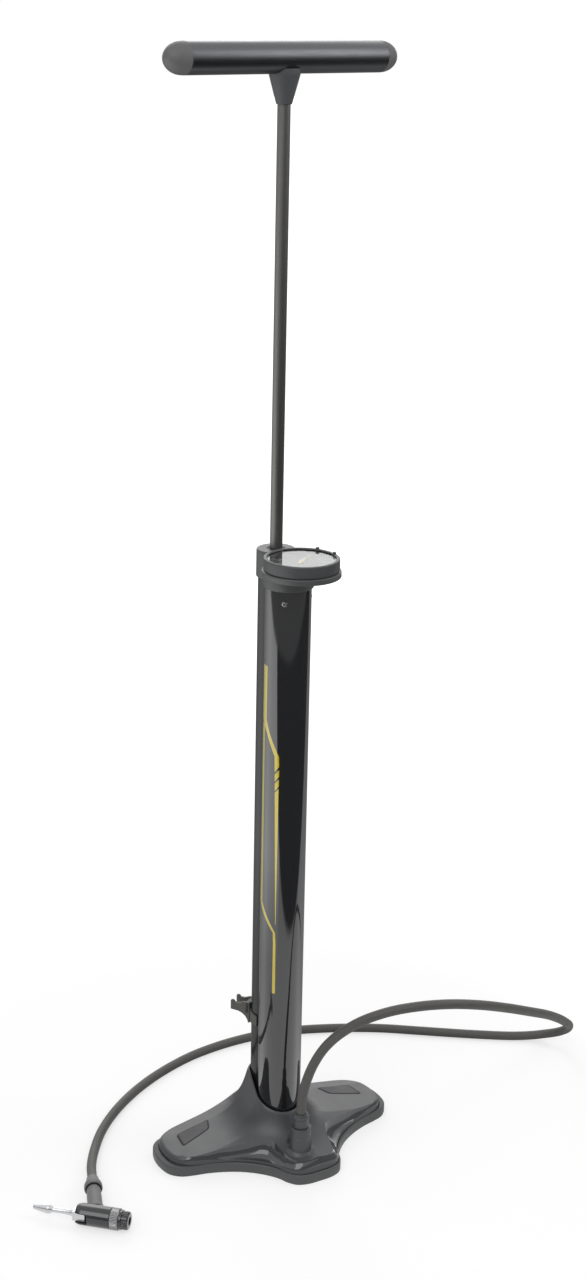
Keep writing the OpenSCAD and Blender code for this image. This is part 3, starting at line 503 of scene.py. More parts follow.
def lathe(name, profile, place=None, steps=96, shape=None, radius=0.5):
    # a closed profile of (radius, height) turned round Z; shape(angle, r, z) may change the radius
    line = rounded(profile, radius)
    points = []
    for i in range(steps):
        angle = 2 * math.pi * i / steps
        for r, z in line:
            out = shape(angle, r, z) if shape else r
            points.append((out * math.cos(angle), out * math.sin(angle), z))
    mesh = makeMesh(name, points, loftFaces(steps, len(line), closed=True), place)
    # faces on the axis have shrunk to lines
    return rework(mesh, lambda made: bmesh.ops.dissolve_degenerate(made, dist=touching, edges=made.edges))


def tube(outer, inner, low, high, rim=0.4):
    return [(outer, low, rim), (outer, high, rim), (inner, high, rim / 2), (inner, low, rim / 2)]


def extrude(name, outline, low, high, place=None, edge=0.4):
    # a flat outline, anticlockwise, pulled up, with a small round edge at both faces
    corner = edge * 0.3
    rings = []
    for inset, z in ((edge, low), (corner, low + corner), (0, low + edge), (0, high - edge),
                     (corner, high - corner), (edge, high)):
        ring = []
        for i, p in enumerate(outline):
            along = (Vector(outline[(i + 1) % len(outline)]) - Vector(outline[i - 1])).normalized()
            ring.append((p[0] - along.y * inset, p[1] + along.x * inset, z))
        rings.append(ring)
    return loft(name, rings, place=place)


def meshOf(shape):
    # the mesh an object shows, modifiers included
    bpy.context.view_layer.update()
    return bpy.data.meshes.new_from_object(shape.evaluated_get(bpy.context.evaluated_depsgraph_get()))


def carve(mesh, *cutters):
    # the mesh less the cutters, by Blender's exact boolean
    whole = newObject("whole", mesh)
    spare = [whole]
    for cutter in cutters:
        cut = whole.modifiers.new("cut", "BOOLEAN")
        cut.object = newObject("tool", cutter)
        cut.operation = "DIFFERENCE"
        cut.solver = "EXACT"
        spare.append(cut.object)
    carved = meshOf(whole)
    carved.name = mesh.name
    for old in spare:
        bpy.data.objects.remove(old)
    return carved


def turned(x, y, z, *turns):
    # a place in millimetres, then turns in degrees about the named axes
    place = Matrix.Translation((x, y, z))
    for degrees, axis in turns:
        place = place @ Matrix.Rotation(math.radians(degrees), 4, axis)
    return place


def block(name, low, high, place=None, edge=0.4):
    (x, y, z), (farX, farY, top) = low, high
    outline = rounded([(x, y), (farX, y), (farX, farY), (x, farY)], edge, 3)
    return extrude(name, outline, z, top, place, edge * 0.6)


# ---- hose ----

hose = {"diameter": 10.1, "steps": 10, "chuck": (-229, -87), "chuckRadius": 11, "stem": 72.5, "reach": 64,
        # from the boss, over the arch and along the floor, to the sleeve
        "route": [(0, -84, 66), (0, -84, 80), (1, -85, 93), (4, -87, 109), (9, -92, 129), (17, -99, 149),
                  (28, -110, 168), (45, -124, 186), (70, -137, 198), (100, -146, 202), (134, -150, 199),
                  (173, -145, 187), (217, -129, 166), (260, -106, 141), (303, -79, 114), (340, -49, 86),
                  (366, -26, 64), (386, -5, 45), (396, 13, 29), (395, 29, 17), (385, 42, 10), (369, 52, 6.5),
                  (348, 63, 5.2), (319, 79, 5.2), (289, 97, 5.2), (254, 119, 5.2), (218, 141, 5.2),
                  (180, 159, 5.2), (141, 173, 5.2), (105, 182, 5.2), (67, 185, 5.2), (27, 182, 5.2),
                  (-16, 172, 5.2), (-60, 153, 5.2), (-99, 129, 5.2), (-134, 100, 5.2), (-163, 68, 5.2),
                  (-184, 36, 5.2), (-199, 6, 6.5)]}


def spline(a, b, c, d, t):
    return tuple(0.5 * (2 * q + (r - p) * t + (2 * p - 5 * q + 4 * r - s) * t * t
                        + (3 * q - p - 3 * r + s) * t ** 3) for p, q, r, s in zip(a, b, c, d))


def smoothLine(points, steps, closed=False):
    count = len(points)

    def at(i):
        return points[i % count] if closed else points[min(max(i, 0), count - 1)]
    line = [spline(at(i - 1), at(i), at(i + 1), at(i + 2), j / steps)
            for i in range(count if closed else count - 1) for j in range(steps)]
    return line if closed else line + [points[-1]]


def makeHose():
    x, y = polar(hose["reach"], hose["stem"])
    end = (hose["chuck"][0] + x, hose["chuck"][1] + y, hose["chuckRadius"])
    line = [Vector(p) * mm for p in smoothLine(hose["route"] + [end], hose["steps"])]
    curve = bpy.data.curves.new("hose", "CURVE")
    curve.dimensions = "3D"
    curve.bevel_depth = hose["diameter"] / 2 * mm
    curve.bevel_resolution = 7
    curve.use_fill_caps = True
    run = curve.splines.new("POLY")
    run.points.add(len(line) - 1)
    for point, at in zip(run.points, line):
        point.co = (*at, 1)
    run.use_smooth = True
    curve.materials.append(looks["hoseSkin"])
    piece = register(newObject("hoseRun", curve), ["hose"])
    length = sum((b - a).length for a, b in zip(line, line[1:]))
    print("hose: %.3f m" % length)
    return piece, line[0], length


hoseRun, hoseStart, hoseLength = makeHose()


# ---- base ----

base = {# half the outline: x, y, width of the cove, and how hollow it is
        "rim": [(0, -110, 4, 0.2), (13.5, -109.5, 4, 0.2), (25, -105.5, 6, 0.4), (32, -97, 10, 0.6),
                (36.5, -86.5, 12, 0.8), (43.5, -76, 15, 1), (53.5, -65.5, 16, 1), (65, -56.5, 14, 1),
                (79.5, -48.5, 11, 0.9), (96.5, -42, 9, 0.6), (113, -38, 6, 0.4), (125, -33.5, 5, 0.2),
                (134, -23, 5, 0), (136.5, -6, 5, 0), (134.5, 10, 5, 0), (128.5, 22, 5, 0), (116, 29, 5, 0),
                (95, 32, 6, 0.1), (72.5, 35, 7, 0.2), (51.5, 39.5, 8, 0.3), (31, 43.5, 8, 0.3),
                (12.5, 45.5, 8, 0.3), (0, 45.8, 8, 0.3)],
        "hollowShown": 0.15, "turn": 4.2, "side": 3.5, "hub": (0, -18),
        "tipLedge": 4, "ledgeFrom": 100, "ledgeOver": 32, "trayHeight": 11, "inset": 2.5, "edge": 3,
        "wing": 20, "wingEnd": 116, "wingRise": 0.137, "crest": -14, "crestHalf": 26, "crestFall": 0.163,
        "collarHeight": 78, "collarFall": 0.42, "collarGap": 0.6, "collarWall": 2.5, "collarFoot": 10,
        "hubFloor": 24, "bowl": (0, -83), "bowlRadius": 13.4, "bowlFloor": 29, "bowlEdge": 4,
        "pad": [(70, 12), (106, 9), (109, -11), (76, -2)]}
barrel = {"radius": 17.5, "wall": 1.5, "foot": 26, "top": 650}
tank = {"radius": 22.9, "y": -29.5, "top": 635, "screws": (-125, -5), "screwHeight": 614}
tankPlace = turned(0, tank["y"], 0)


def mixed(a, b, t):
    return a + (b - a) * t


def eased(t):
    t = min(max(t, 0), 1)
    return t * t * (3 - 2 * t)


def placed(x, y):
    # from the base's own frame to the pump's
    c, s = polar(1, base["turn"])
    return x * c - y * s + base["side"], x * s + y * c


def own(p):
    # from the pump's frame to the base's own
    c, s = polar(1, base["turn"])
    x = p[0] - base["side"]
    return x * c + p[1] * s, p[1] * c - x * s


def ledge(p):
    # how far the tray stands out under the cover, at the wings' tips
    return base["tipLedge"] * eased((abs(own(p)[0]) - base["ledgeFrom"]) / base["ledgeOver"])


def towardsHub(p, distance):
    out = Vector(p[:2]) - Vector(base["hub"])
    return Vector(p[:2]) - out.normalized() * distance


def hubOval(way, grow):
    # point of the oval round both tubes, in the direction way
    a = way * (barrel["radius"] + grow)
    b = Vector((0, tank["y"])) + way * (tank["radius"] + grow)
    return a if a.dot(way) > b.dot(way) else b


def collarAt(y):
    # the collar's rim comes down towards the front
    return base["collarHeight"] - base["collarFall"] * max(0, -y)


def offHub(p):
    # how far p is outside the collar
    t = min(max(-p[1] / -tank["y"], 0), 1)
    away = math.hypot(p[0], p[1] - tank["y"] * t) - mixed(barrel["radius"], tank["radius"], t)
    return max(0, away - base["collarGap"] - base["collarWall"])


def coverTop(p):
    # height of the cover: the wing, swept up to the collar, and sunk round the hose boss
    x, y = own(p)
    wing = base["wing"] + base["wingRise"] * (base["wingEnd"] - abs(x))
    wing -= base["crestFall"] * max(0, abs(y - base["crest"]) - base["crestHalf"])
    swept = wing + (collarAt(p[1]) - wing) * math.exp(-offHub(p) / base["collarFoot"])
    away = math.hypot(p[0] - base["bowl"][0], p[1] - base["bowl"][1])
    within = (away - base["bowlRadius"]) / base["bowlEdge"] + 0.5
    return mixed(base["bowlFloor"], swept, eased(within))


def cove(u, hollow):
    # height across the rim's band, from a round shoulder to a hollow
    return mixed(math.sqrt(max(0, 1 - (1 - u) ** 2)), 1 - math.sqrt(max(0, 1 - u * u)), hollow)


def coverRing(p, coveSteps, riseSteps):
    # the cover's line from the rim at p up to the collar and down inside it
    way = (Vector(p[:2]) - Vector(base["hub"])).normalized()
    inset = base["inset"] + ledge(p)
    foot = towardsHub(p, inset)
    outer = hubOval(way, base["collarGap"] + base["collarWall"])
    inner = hubOval(way, base["collarGap"])
    share = p[2] / (foot - outer).length
    low = base["trayHeight"] + base["edge"]
    ring = [(*towardsHub(p, inset + 0.8), base["trayHeight"] - 1.2),
            (*towardsHub(p, inset + 0.2), base["trayHeight"] - 1.2)]
    for i in range(coveSteps + 1):
        u = i / coveSteps
        q = foot.lerp(outer, u * share)
        ring.append((*q, mixed(low, coverTop(q), cove(u, p[3]))))
    for i in range(1, riseSteps):
        v = (i / riseSteps) ** 0.8
        q = foot.lerp(outer, mixed(share, 1, v))
        ring.append((*q, coverTop(q)))
    rim = collarAt(outer[1])
    for t, rise in ((0.1, -0.5), (0.35, 0), (0.65, 0), (0.9, -0.5)):
        ring.append((*outer.lerp(inner, t), rim + rise))
    ring.append((*inner, rim - 1.5))
    ring.append((*inner, base["hubFloor"]))
    return ring


def wholeRim(steps):
    half = base["rim"]
    mirrored = [(-x, y, w, h) for x, y, w, h in half[-2:0:-1]]
    return [(*placed(x, y), w, h) for x, y, w, h in smoothLine(half + mirrored, steps, closed=True)]


def makeCover():
    rim = wholeRim(8)
    coveSteps, riseSteps = 14, 26
    sections = [coverRing(p, coveSteps, riseSteps) for p in rim]
    count = len(sections[0])
    points = [p for ring in sections for p in ring]
    faces = []
    for a in range(len(sections)):
        b = (a + 1) % len(sections)
        faces += [(a * count + j, b * count + j, b * count + j + 1, a * count + j + 1)
                  for j in range(count - 1)]
    mesh = makeMesh("coverShell", points, faces)
    piece = addPiece("coverShell", mesh, ("coverSkin", "coveSkin"), ["base_cover"], sharp=28)
    # the cove inside the rim is glossy where it is hollow
    for k, polygon in enumerate(piece.data.polygons):
        section, j = divmod(k, count - 1)
        if 3 <= j < coveSteps + 2 and rim[section][3] > base["hollowShown"]:
            polygon.material_index = 1


def makeTray():
    outline = wholeRim(6)
    # each step: distance inside the rim, share of the ledge added to it, height
    line = [(1.2, 0, 0), (0.3, 0, 0.3), (0, 0, 1.2), (0, 0, 8.2), (0.15, 0, 9.4), (0.6, 0, 10.3),
            (1.2, 0.1, 10.8), (1.7, 0.5, 11), (1.8, 1, 11), (2.05, 1, 10.6), (2.15, 1, 9.4), (3.6, 1, 9.2),
            (6, 1, 9), (6, 1, 3)]
    rings = [[(*towardsHub(p, inset + share * ledge(p)), z) for p in outline] for inset, share, z in line]
    addPiece("trayShell", loft("trayShell", rings), "traySkin", ["base_tray"])


def padCorner(u, v):
    corners = [Vector(c) for c in base["pad"]]
    return corners[0].lerp(corners[1], u).lerp(corners[3].lerp(corners[2], u), v)


def makePads():
    pads, grooveShades = [], []
    for side in (1, -1):
        outline = rounded([tuple(padCorner(u, v)) for u, v in ((0, 0), (1, 0), (1, 1), (0, 1))], 3.5, 6)
        centre = padCorner(0.5, 0.5)

        def ringAt(scale, lift):
            # the pad's outline, scaled about its centre and lifted off the cover
            spots = [centre + (Vector(p) - centre) * scale for p in outline]
            spots = [placed(side * q.x, q.y) for q in spots]
            return [(*q, coverTop(q) + lift) for q in spots]
        rings = [ringAt(1, -0.4), ringAt(1, 0.2), ringAt(0.985, 0.45)]
        rings += [ringAt(s, 0.5) for s in (0.94, 0.8, 0.6, 0.4, 0.2, 0.02)]
        pads.append(loft("pad", rings, first=False))
        # a near-black band from the pad's edge down to the cover: painted shade in the groove round each pad
        groove = [ringAt(1.0, 0.3), ringAt(1.1, 0.25), ringAt(1.13, 0)]
        grooveShades.append(loft("gap", groove, first=False, last=False))
    addPiece("gripPads", joinMeshes("gripPads", pads), "gripSkin", ["grip_pads"])
    addPiece("padGrooveShade", joinMeshes("padGrooveShade", grooveShades), "darkGap", [])


makeCover()
makeTray()
makePads()
print("base: made")


# ---- barrel and tank ----

cap = {"radius": 19.5, "skirt": 21, "lid": 7, "gap": 0.3, "bed": 17.55, "mouth": 9.2, "bore": 6.9}


def makeBarrel():
    mesh = lathe("barrelTube", tube(barrel["radius"], barrel["radius"] - barrel["wall"], barrel["foot"],
                                    barrel["top"]), steps=128)
    addPiece("barrelTube", mesh, "barrelEnamel", ["barrel_tube"])


def tankOutline(steps=120, backSteps=24):
    # round, with a hollow back that lies on the barrel
    r, back, y = tank["radius"], barrel["radius"] + 0.1, tank["y"]
    across = (y * y + back * back - r * r) / (-2 * y)
    half = math.sqrt(back * back - across * across)
    start = math.atan2(-across - y, -half)
    end = math.atan2(-across - y, half) + 2 * math.pi
    line = [(r * math.cos(a), y + r * math.sin(a))
            for a in (mixed(start, end, i / steps) for i in range(steps + 1))]
    first, last = math.atan2(-across, half), math.atan2(-across, -half)
    return line + [(back * math.cos(a), back * math.sin(a))
                   for a in (mixed(first, last, i / backSteps) for i in range(1, backSteps))]


def makeTank():
    outer = extrude("tankShell", tankOutline(), barrel["foot"], tank["top"], edge=0.5)
    addPiece("tankShell", outer, "tankEnamel", ["tank_tube"])


makeBarrel()
makeTank()
print("tubes: made")


# ---- cap, gauge housing and gauge ----

gauge = {"y": -57, "bezelRadius": 37, "bezelLow": 650.3, "bezelHeight": 12, "caseRadius": 34.2,
         "caseLow": 644.4, "lipTop": 650, "lip": 5.6, "lipRadius": 38.5, "flare": 1.25,
         "bandLow": 626, "band": 11, "bandRadius": 25, "below": 600, "above": 700, "nubs": (0, 38),
         "dial": 655.5, "dialThick": 0.8, "zero": 45, "sweep": 270, "largest": 160,
         "figureStep": 20, "figureSize": 5.2, "figureRadius": 22, "tickStep": 5, "tickOut": 31.4,
         # each kind of tick: its inner radius and half its width
         "longTick": (26.4, 0.42), "shortTick": (28.6, 0.22), "arcRadius": 31.9, "arcInner": 0.985}
gaugePlace = turned(0, gauge["y"], 0)


def ringPoints(centreY, radius, z, steps=128):
    turns = [2 * math.pi * i / steps for i in range(steps)]
    return [(radius * math.cos(a), centreY + radius * math.sin(a), z) for a in turns]


def makeCap():
    low = barrel["top"] - cap["skirt"]
    top = barrel["top"] + cap["lid"]
    roof = barrel["top"] - 1
    mesh = lathe("barrelCap", [(cap["radius"], low, 0.6), (cap["radius"], top, 1.6), (cap["mouth"], top, 0.5),
                               (cap["mouth"] - 1, top - 1.4, 0.5), (cap["bore"], top - 1.4, 0.2),
                               (cap["bore"], roof, 0.2), (cap["bed"], roof, 0.2), (cap["bed"], low, 0.3)],
                 steps=128)
    notch = lathe("notch", tube(tank["radius"] + cap["gap"], 0, gauge["below"], tank["top"] + cap["gap"], 0),
                  tankPlace)
    addPiece("barrelCap", carve(mesh, notch), "housingSkin", ["barrel_cap"])


def makeHousing():
    low, high = gauge["bandLow"], gauge["bandLow"] + gauge["band"]
    rings = [ringPoints(tank["y"], gauge["bandRadius"] - inset, z)
             for inset, z in ((2.2, low + 0.3), (0.8, low), (0.25, low + 0.4), (0, low + 1.2),
                              (0, high - 1.4), (-0.15, high - 0.6))]
    flare = gauge["lipTop"] - gauge["lip"]
    for i in range(1, 13):
        t = i / 12
        out = t ** gauge["flare"]
        rings.append(ringPoints(mixed(tank["y"], gauge["y"], out),
                                mixed(gauge["bandRadius"], gauge["lipRadius"], out), mixed(high, flare, t)))
    for inset, z in ((-0.2, flare + 0.5), (-0.1, gauge["lipTop"] - 0.7), (0.3, gauge["lipTop"] - 0.15),
                     (1, gauge["lipTop"])):
        rings.append(ringPoints(gauge["y"], gauge["lipRadius"] - inset, z))
    mesh = loft("gaugeHousing", rings)
    clear = [lathe("tankClear", tube(tank["radius"] + 0.05, 0, gauge["below"], tank["top"], 0), tankPlace),
             lathe("capClear", tube(cap["radius"] + cap["gap"], 0, gauge["below"], gauge["above"], 0)),
             lathe("caseClear", tube(gauge["caseRadius"] + 0.1, 0, gauge["caseLow"], gauge["above"], 0),
                   gaugePlace)]
    addPiece("gaugeHousing", carve(mesh, *clear), "housingSkin", ["gauge_housing"])


def makeBezel():
    r, low = gauge["bezelRadius"], gauge["bezelLow"]
    top = low + gauge["bezelHeight"]
    mesh = lathe("bezelRing", [(r - 0.5, low, 0.4), (r, low + 1.2, 0.6), (r, top, 1.5), (r - 3.4, top, 0.7),
                               (r - 4, top - 1.3, 0.3), (gauge["caseRadius"] + 0.3, top - 1.3, 0),
                               (gauge["caseRadius"] + 0.3, low, 0.2)], gaugePlace, steps=160)
    addPiece("bezelRing", mesh, "bezelSkin", ["gauge_bezel"], body="bezel")
    nubs = [block("nub", (r - 2.9, -1.7, top - 1), (r - 0.6, 1.7, top + 1.7),
                  turned(0, gauge["y"], 0, (a, "Z")), 0.6) for a in gauge["nubs"]]
    addPiece("bezelNubs", joinMeshes("bezelNubs", nubs), "markerSkin", ["bezel_markers"],
             body="bezel")


def dialAngle(share):
    return gauge["zero"] - gauge["sweep"] * share


def makeDial():
    top = gauge["dial"] + gauge["dialThick"]
    face = lathe("dialFace", tube(gauge["caseRadius"], 1.05, gauge["dial"], top, 0.1), gaugePlace)
    addPiece("dialFace", face, "dialFace", ["gauge_dial"])
    marks = []
    for value in range(0, gauge["largest"] + 1, gauge["tickStep"]):
        inner, half = gauge["shortTick"] if value % gauge["figureStep"] else gauge["longTick"]
        marks.append(block("tick", (inner, -half, top - 0.1), (gauge["tickOut"], half, top + 0.06),
                           turned(0, gauge["y"], 0, (dialAngle(value / gauge["largest"]), "Z")), 0.05))
    arc = [polar(gauge["arcRadius"], dialAngle(i / 90)) for i in range(91)]
    inner = [(x * gauge["arcInner"], y * gauge["arcInner"]) for x, y in arc[::-1]]
    count = len(arc)
    marks.append(makeMesh("arc", [(x, y + gauge["y"], top + 0.05) for x, y in arc + inner],
                          [(i, i + 1, 2 * count - 2 - i, 2 * count - 1 - i) for i in range(count - 1)]))
    for value in range(0, gauge["largest"] + 1, gauge["figureStep"]):
        text = bpy.data.curves.new("figure", "FONT")
        text.body = str(value)
        text.size = gauge["figureSize"] * mm
        text.align_x = text.align_y = "CENTER"
        text.extrude = 0.05 * mm
        figure = newObject("figure", text)
        mesh = meshOf(figure)
        bpy.data.objects.remove(figure)
        # upright for someone who stands behind the pump
        x, y = polar(gauge["figureRadius"], dialAngle(value / gauge["largest"]))
        move(mesh, turned(x, gauge["y"] + y, top, (180, "Z")))
        marks.append(mesh)
    addPiece("dialMarks", joinMeshes("dialMarks", marks), "dialPrint", [])


def makeNeedle():
    low = gauge["dial"] + gauge["dialThick"] + 0.6
    outline = rounded([(-9, -1.4), (0, -1.1), (25, -0.3), (25, 0.3), (0, 1.1), (-9, 1.4)], 0.3, 2)
    pointer = extrude("pointer", outline, low, low + 0.8, gaugePlace @ turned(0, 0, 0, (gauge["zero"], "Z")),
                      0.15)
    hub = lathe("hub", [(2.6, low), (2.6, low + 1.2), (0, low + 1.2), (0, low)], gaugePlace, radius=0.3)
    addPiece("gaugePointer", joinMeshes("gaugePointer", [pointer, hub]), "needleSkin", ["gauge_needle"],
             body="needle")


makeCap()
makeHousing()
makeBezel()
makeDial()
makeNeedle()
print("gauge: made")


# ---- rod and handle ----

rod = {"radius": 6.25, "low": 470.6, "neck": 1080}
handle = {"radius": 14.7, "wall": 2, "half": 120, "dome": 20, "z": 1121.5, "turn": 16, "neckHeight": 27,
          "neckRadius": 7.35}
handlePlace = turned(0, 0, handle["z"], (handle["turn"], "Z"), (90, "Y"))


def makeHandle():
    r, half = handle["radius"], handle["half"]
    bar = lathe("handleBar", tube(r, r - handle["wall"], -half, half, 0.25), handlePlace, steps=128)
    addPiece("handleBar", bar, "handleMetal", ["handle_tube"], body="rod")
    ends = []
    for side in (1, -1):
        dome = [(0, -12, 0), (r - 2.1, -12), (r - 2.1, 0, 0), (r - 0.05, 0.05, 0), (r, 0.8, 0)]
        for a in range(0, 91, 6):
            x, rise = polar(1, a)
            dome.append(((r - 0.1) * x, 1.4 + (handle["dome"] - 1.4) * rise, 0))
        place = handlePlace @ turned(0, 0, side * half, (0 if side > 0 else 180, "X"))
        ends.append(lathe("dome", dome, place, steps=128))
    addPiece("handleEnds", joinMeshes("handleEnds", ends), "capSkin", ["handle_caps"],
             body="rod")
    low, top = rod["neck"], rod["neck"] + handle["neckHeight"]
    cone = lathe("neck", [(handle["neckRadius"], low, 0.5), (r + 0.1, top, 1.5), (r + 0.1, top + 5, 0.4),
                          (6.3, top + 5, 0.2), (6.3, low, 0.2)], steps=128)
    saddle = lathe("saddle", tube(r + 0.05, 0, -half, half, 0), handlePlace, steps=128)
    addPiece("handleNeck", carve(cone, saddle), "neckSkin", ["handle_neck"], body="rod")
    shaft = lathe("rodShaft", [(rod["radius"], rod["low"], 0.4), (rod["radius"], top, 0.2), (0, top, 0),
                               (0, rod["low"], 0)], steps=96)
    addPiece("rodShaft", shaft, "rodSteel", ["piston_rod"], body="rod")


makeHandle()
print("handle: made")


# ---- hose fittings, screws and clip ----

boss = {"y": -84, "radius": 11.35, "low": 3, "top": 54, "bore": 2.5, "nutRadius": 8.15, "nutHeight": 15.5}
clip = {"turn": 126.5, "z": 148, "gap": 10, "reach": 41, "jaw": 3, "half": 6, "bandLow": 136, "bandHigh": 148,
        "open": 64}


def makeBoss():
    r, top, place = boss["radius"], boss["top"], turned(0, boss["y"], 0)
    mesh = lathe("hoseBoss", [(r, boss["low"], 0.3), (r, 43, 0.2), (r - 0.5, 43.4, 0.2), (r - 0.5, top, 1.6),
                              (boss["bore"], top, 0.2), (boss["bore"], boss["low"], 0)], place)
    addPiece("hoseBoss", mesh, "coverSkin", ["outlet_elbow"])
    r, high = boss["nutRadius"], top + boss["nutHeight"]
    profile = [(r - 0.3, top + 0.05, 0.3), (r, top + 1.5, 0.6), (r - 0.25, high - 6, 0.3),
               (r + 0.55, high - 5, 0.5), (r + 0.55, high - 3.6, 0.5), (r - 0.6, high - 3, 0.4),
               (r - 1.3, high, 0.9), (5.2, high, 0.3), (5.2, high - 6, 0.1), (boss["bore"], high - 6, 0.1),
               (boss["bore"], top + 0.05, 0)]
    addPiece("hoseNut", lathe("hoseNut", profile, place), "coverSkin", ["hose_nut"])


def makeTankScrews():
    heads = []
    for angle in tank["screws"]:
        place = turned(0, tank["y"], tank["screwHeight"], (angle, "Z"))
        place = place @ turned(tank["radius"] - 0.2, 0, 0, (90, "Y"))
        heads.append(lathe("head", [(0, -6, 0), (1.45, -6, 0.2), (1.45, 0, 0), (3, 0, 0.1), (2.9, 0.7, 0.3),
                                    (1.9, 1.75, 0.5), (1.35, 1.75, 0.1), (1.25, 0.9, 0.1), (0, 0.9, 0)],
                           place, steps=48))
    addPiece("tankScrewHeads", joinMeshes("tankScrewHeads", heads), "darkSteel", ["tank_screws"])


def makeClip():
    back, half, reach = barrel["radius"] + 0.6, clip["half"], clip["reach"]
    side = [(back, -17), (back + 1.6, -17), (back + 2.8, -13.2), (back + 5.4, -9.8), (back + 9.5, -7.2),
            (back + 14, -half), (reach, -half), (reach, half - 1), (reach - 3.4, half - 1),
            (reach - 4.4, half - 3), (back + 13, half - 2.4), (back + 8, half), (back, half + 1)]
    outline = rounded(side, 1.2, 4)
    place = turned(0, 0, clip["z"], (clip["turn"], "Z"))
    inside, outside = clip["gap"] / 2, clip["gap"] / 2 + clip["jaw"]
    plates = []
    for y in (outside, -inside):
        # the outline stands upright: its x runs out from the barrel and its y runs up
        upright = place @ turned(0, y, 0, (90, "X"))
        plates.append(extrude("plate", outline, 0, clip["jaw"], upright, 0.5))
    plates.append(block("root", (back, -outside, -half), (back + 5.5, outside, half), place, 1))
    arc = [mixed(-90 + clip["open"], 270 - clip["open"], i / 60) for i in range(61)]
    outer = [polar(barrel["radius"] + 1.8, a) for a in arc]
    inner = [polar(barrel["radius"] + 0.05, a) for a in arc[::-1]]
    plates.append(extrude("band", outer + inner, clip["bandLow"], clip["bandHigh"], edge=0.3))
    addPiece("hoseClip", joinMeshes("hoseClip", plates), "clipSkin", ["hose_clip"])


makeBoss()
makeTankScrews()
makeClip()


# ---- chuck ----

chuck = {"at": (-229, -87, 11), "turn": -39, "stem": 72.5, "radius": 11, "back": -20, "front": 16,
         "ringFront": 25, "mouth": 35, "neck": 8.4, "neckIn": 2, "slot": 11, "slotEnd": -7, "pin": -14,
         "valve": 4.2, "chamber": 6, "knurls": 44, "flutes": 12, "lever": 52}
chuckPlace = turned(*chuck["at"], (chuck["turn"], "Z"), (90, "Y"))
chuckLevel = turned(*chuck["at"], (chuck["turn"], "Z"))
stemPlace = turned(*chuck["at"], (chuck["stem"], "Z"), (90, "Y"))


def makeChuck():
    r, back, front, ring = chuck["radius"], chuck["back"], chuck["front"], chuck["ringFront"]
    neck, neckEnd, mouth = chuck["neck"], ring + chuck["neckIn"], chuck["mouth"]
    body = lathe("chuckBody", [(0, back, 0), (r - 1.6, back, 0.7), (r - 0.4, back + 3, 1), (r, back + 5, 1),
                               (r, front - 0.1, 0.5), (neck, front, 0.1), (neck, neckEnd, 0.2),
                               (chuck["chamber"], neckEnd, 0.2), (chuck["chamber"], 0, 0.1), (0, 0, 0)],
                 chuckPlace, steps=128)
    slot = block("slot", (back - 2, -r - 1, -chuck["slot"] / 2), (chuck["slotEnd"], r + 1, chuck["slot"] / 2),
                 chuckLevel, 0.3)
    hole = lathe("hole", tube(3.05, 0, chuck["slotEnd"] - 2, 1, 0), chuckPlace)
    addPiece("chuckBody", carve(body, slot, hole), "chuckSkin", ["chuck_body"])

    def knurled(angle, radius, z):
        deep = radius > r - 0.6 and front + 0.9 < z < ring - 0.9
        return radius - (0.55 * (0.5 + 0.5 * math.cos(angle * chuck["knurls"])) ** 2 if deep else 0)
    zs = [front + 0.5, front + 0.95, front + 1.3, ring - 1.3, ring - 0.95, ring - 0.5]
    profile = [(r - 0.4, front + 0.1, 0)] + [(r, z, 0) for z in zs] + [(r - 0.4, ring - 0.05, 0)]
    profile += [(neck + 0.1, ring - 0.05, 0), (neck + 0.1, front + 0.1, 0)]
    ringMesh = lathe("chuckRing", profile, chuckPlace, steps=352, shape=knurled)
    addPiece("chuckCollar", ringMesh, "ringMetal", ["chuck_ring"])

    def fluted(angle, radius, z):
        if radius < r - 3.5 or not ring + 3.1 < z < mouth - 1.2:
            return radius
        return radius - 1.0 * (0.5 + 0.5 * math.cos(angle * chuck["flutes"])) ** 3
    flat = [(r - 1, ring + 0.05, 0.2), (r - 1, ring + 2.7, 0.5), (r - 1.8, ring + 3, 0)]
    flat += [(r - 1.8, ring + 3.2, 0), (r - 1.8, mouth - 1.6, 0), (r - 2.2, mouth - 0.7, 0.3),
             (r - 3.3, mouth, 0.4), (chuck["valve"], mouth, 0.6), (chuck["valve"], neckEnd, 0),
             (neck + 0.1, neckEnd, 0), (neck + 0.1, ring + 0.05, 0)]
    addPiece("chuckMouth", lathe("chuckMouth", flat, chuckPlace, steps=288, shape=fluted), "chuckSkin",
             ["chuck_cap"])


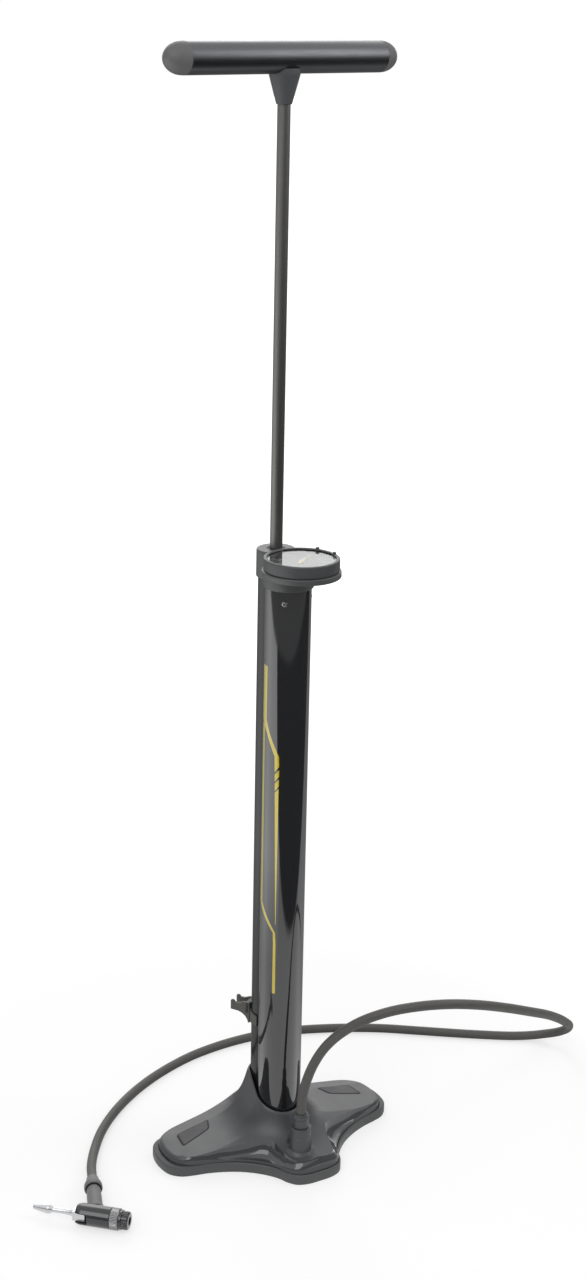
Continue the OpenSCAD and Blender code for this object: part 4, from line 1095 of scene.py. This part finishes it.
def makeStem():
    r = chuck["radius"]
    neck = lathe("chuckNeck", [(8.9, r - 3, 0), (8.9, r + 1.6, 0.5), (8.2, r + 3.2, 0.8), (7.7, r + 4, 0.8),
                               (7.5, 38, 3), (7.1, 45, 0.5), (6.7, 45, 0), (6.7, 47, 0.3), (2, 47, 0),
                               (2, r - 3, 0)], stemPlace)
    body = lathe("body", tube(r + 0.02, 0, chuck["back"], chuck["front"], 0), chuckPlace, steps=128)
    addPiece("chuckNeck", carve(neck, body), "stemSkin", ["chuck_stem"])
    sleeve = lathe("hoseSleeve", [(8.6, 47.2, 0.5), (9.5, 48.4, 0.8), (9.3, 53.5, 1.2), (7.2, 59.5, 2),
                                  (6.1, 66, 0.5), (5.2, 66, 0.1), (5.2, 63, 0), (2, 63, 0), (2, 47.2, 0)],
                   stemPlace)
    addPiece("hoseSleeve", sleeve, "stemSkin", ["hose_ferrule"])
    # a near-black ring in the gap between the neck and the sleeve: painted shade
    seam = lathe("sleeveSeamShade", [(8.3, 46.4, 0), (8.3, 47.25, 0), (6.75, 47.25, 0), (6.75, 46.4, 0)],
                 stemPlace, radius=0)
    addPiece("sleeveSeamShade", seam, "darkGap", [])


def makeLever():
    pivot = chuckLevel @ turned(chuck["pin"], 0, 0, (90, "X"))
    across = pivot @ turned(0, 0, 0, (90, "X"))
    outline = rounded([(-9.5, -5, 1.5), (4.9, -5), (4.9, 6.6), (-9.5, 6.6, 1.5)], 3, 8)
    hub = extrude("hub", outline, -5.1, 5.1, across, 0.5)
    bore = lathe("bore", tube(1.55, 0, -8, 8, 0), across)
    hub = carve(hub, bore)
    length = chuck["lever"]
    arm = lathe("arm", [(0, 4, 0), (4.9, 4, 0.6), (4.8, 6, 0.8), (3.3, 12, 3), (2.8, 19, 3),
                        (2.8, length - 21, 1), (3.1, length - 20.3, 0.4), (4.9, length - 16.6, 0.9),
                        (4.75, length - 15, 0.8), (2.5, length - 1.2, 0.8), (2, length, 0.6), (0, length, 0)],
                pivot @ turned(0, 0, 0, (-90, "Y")), steps=64)
    addPiece("chuckLever", joinMeshes("chuckLever", [hub, arm]), "silver", ["chuck_lever"],
             body="lever")


makeChuck()
makeStem()
makeLever()
print("chuck: made")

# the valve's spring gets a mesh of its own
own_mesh(frame["nodes"]["check_spring"])
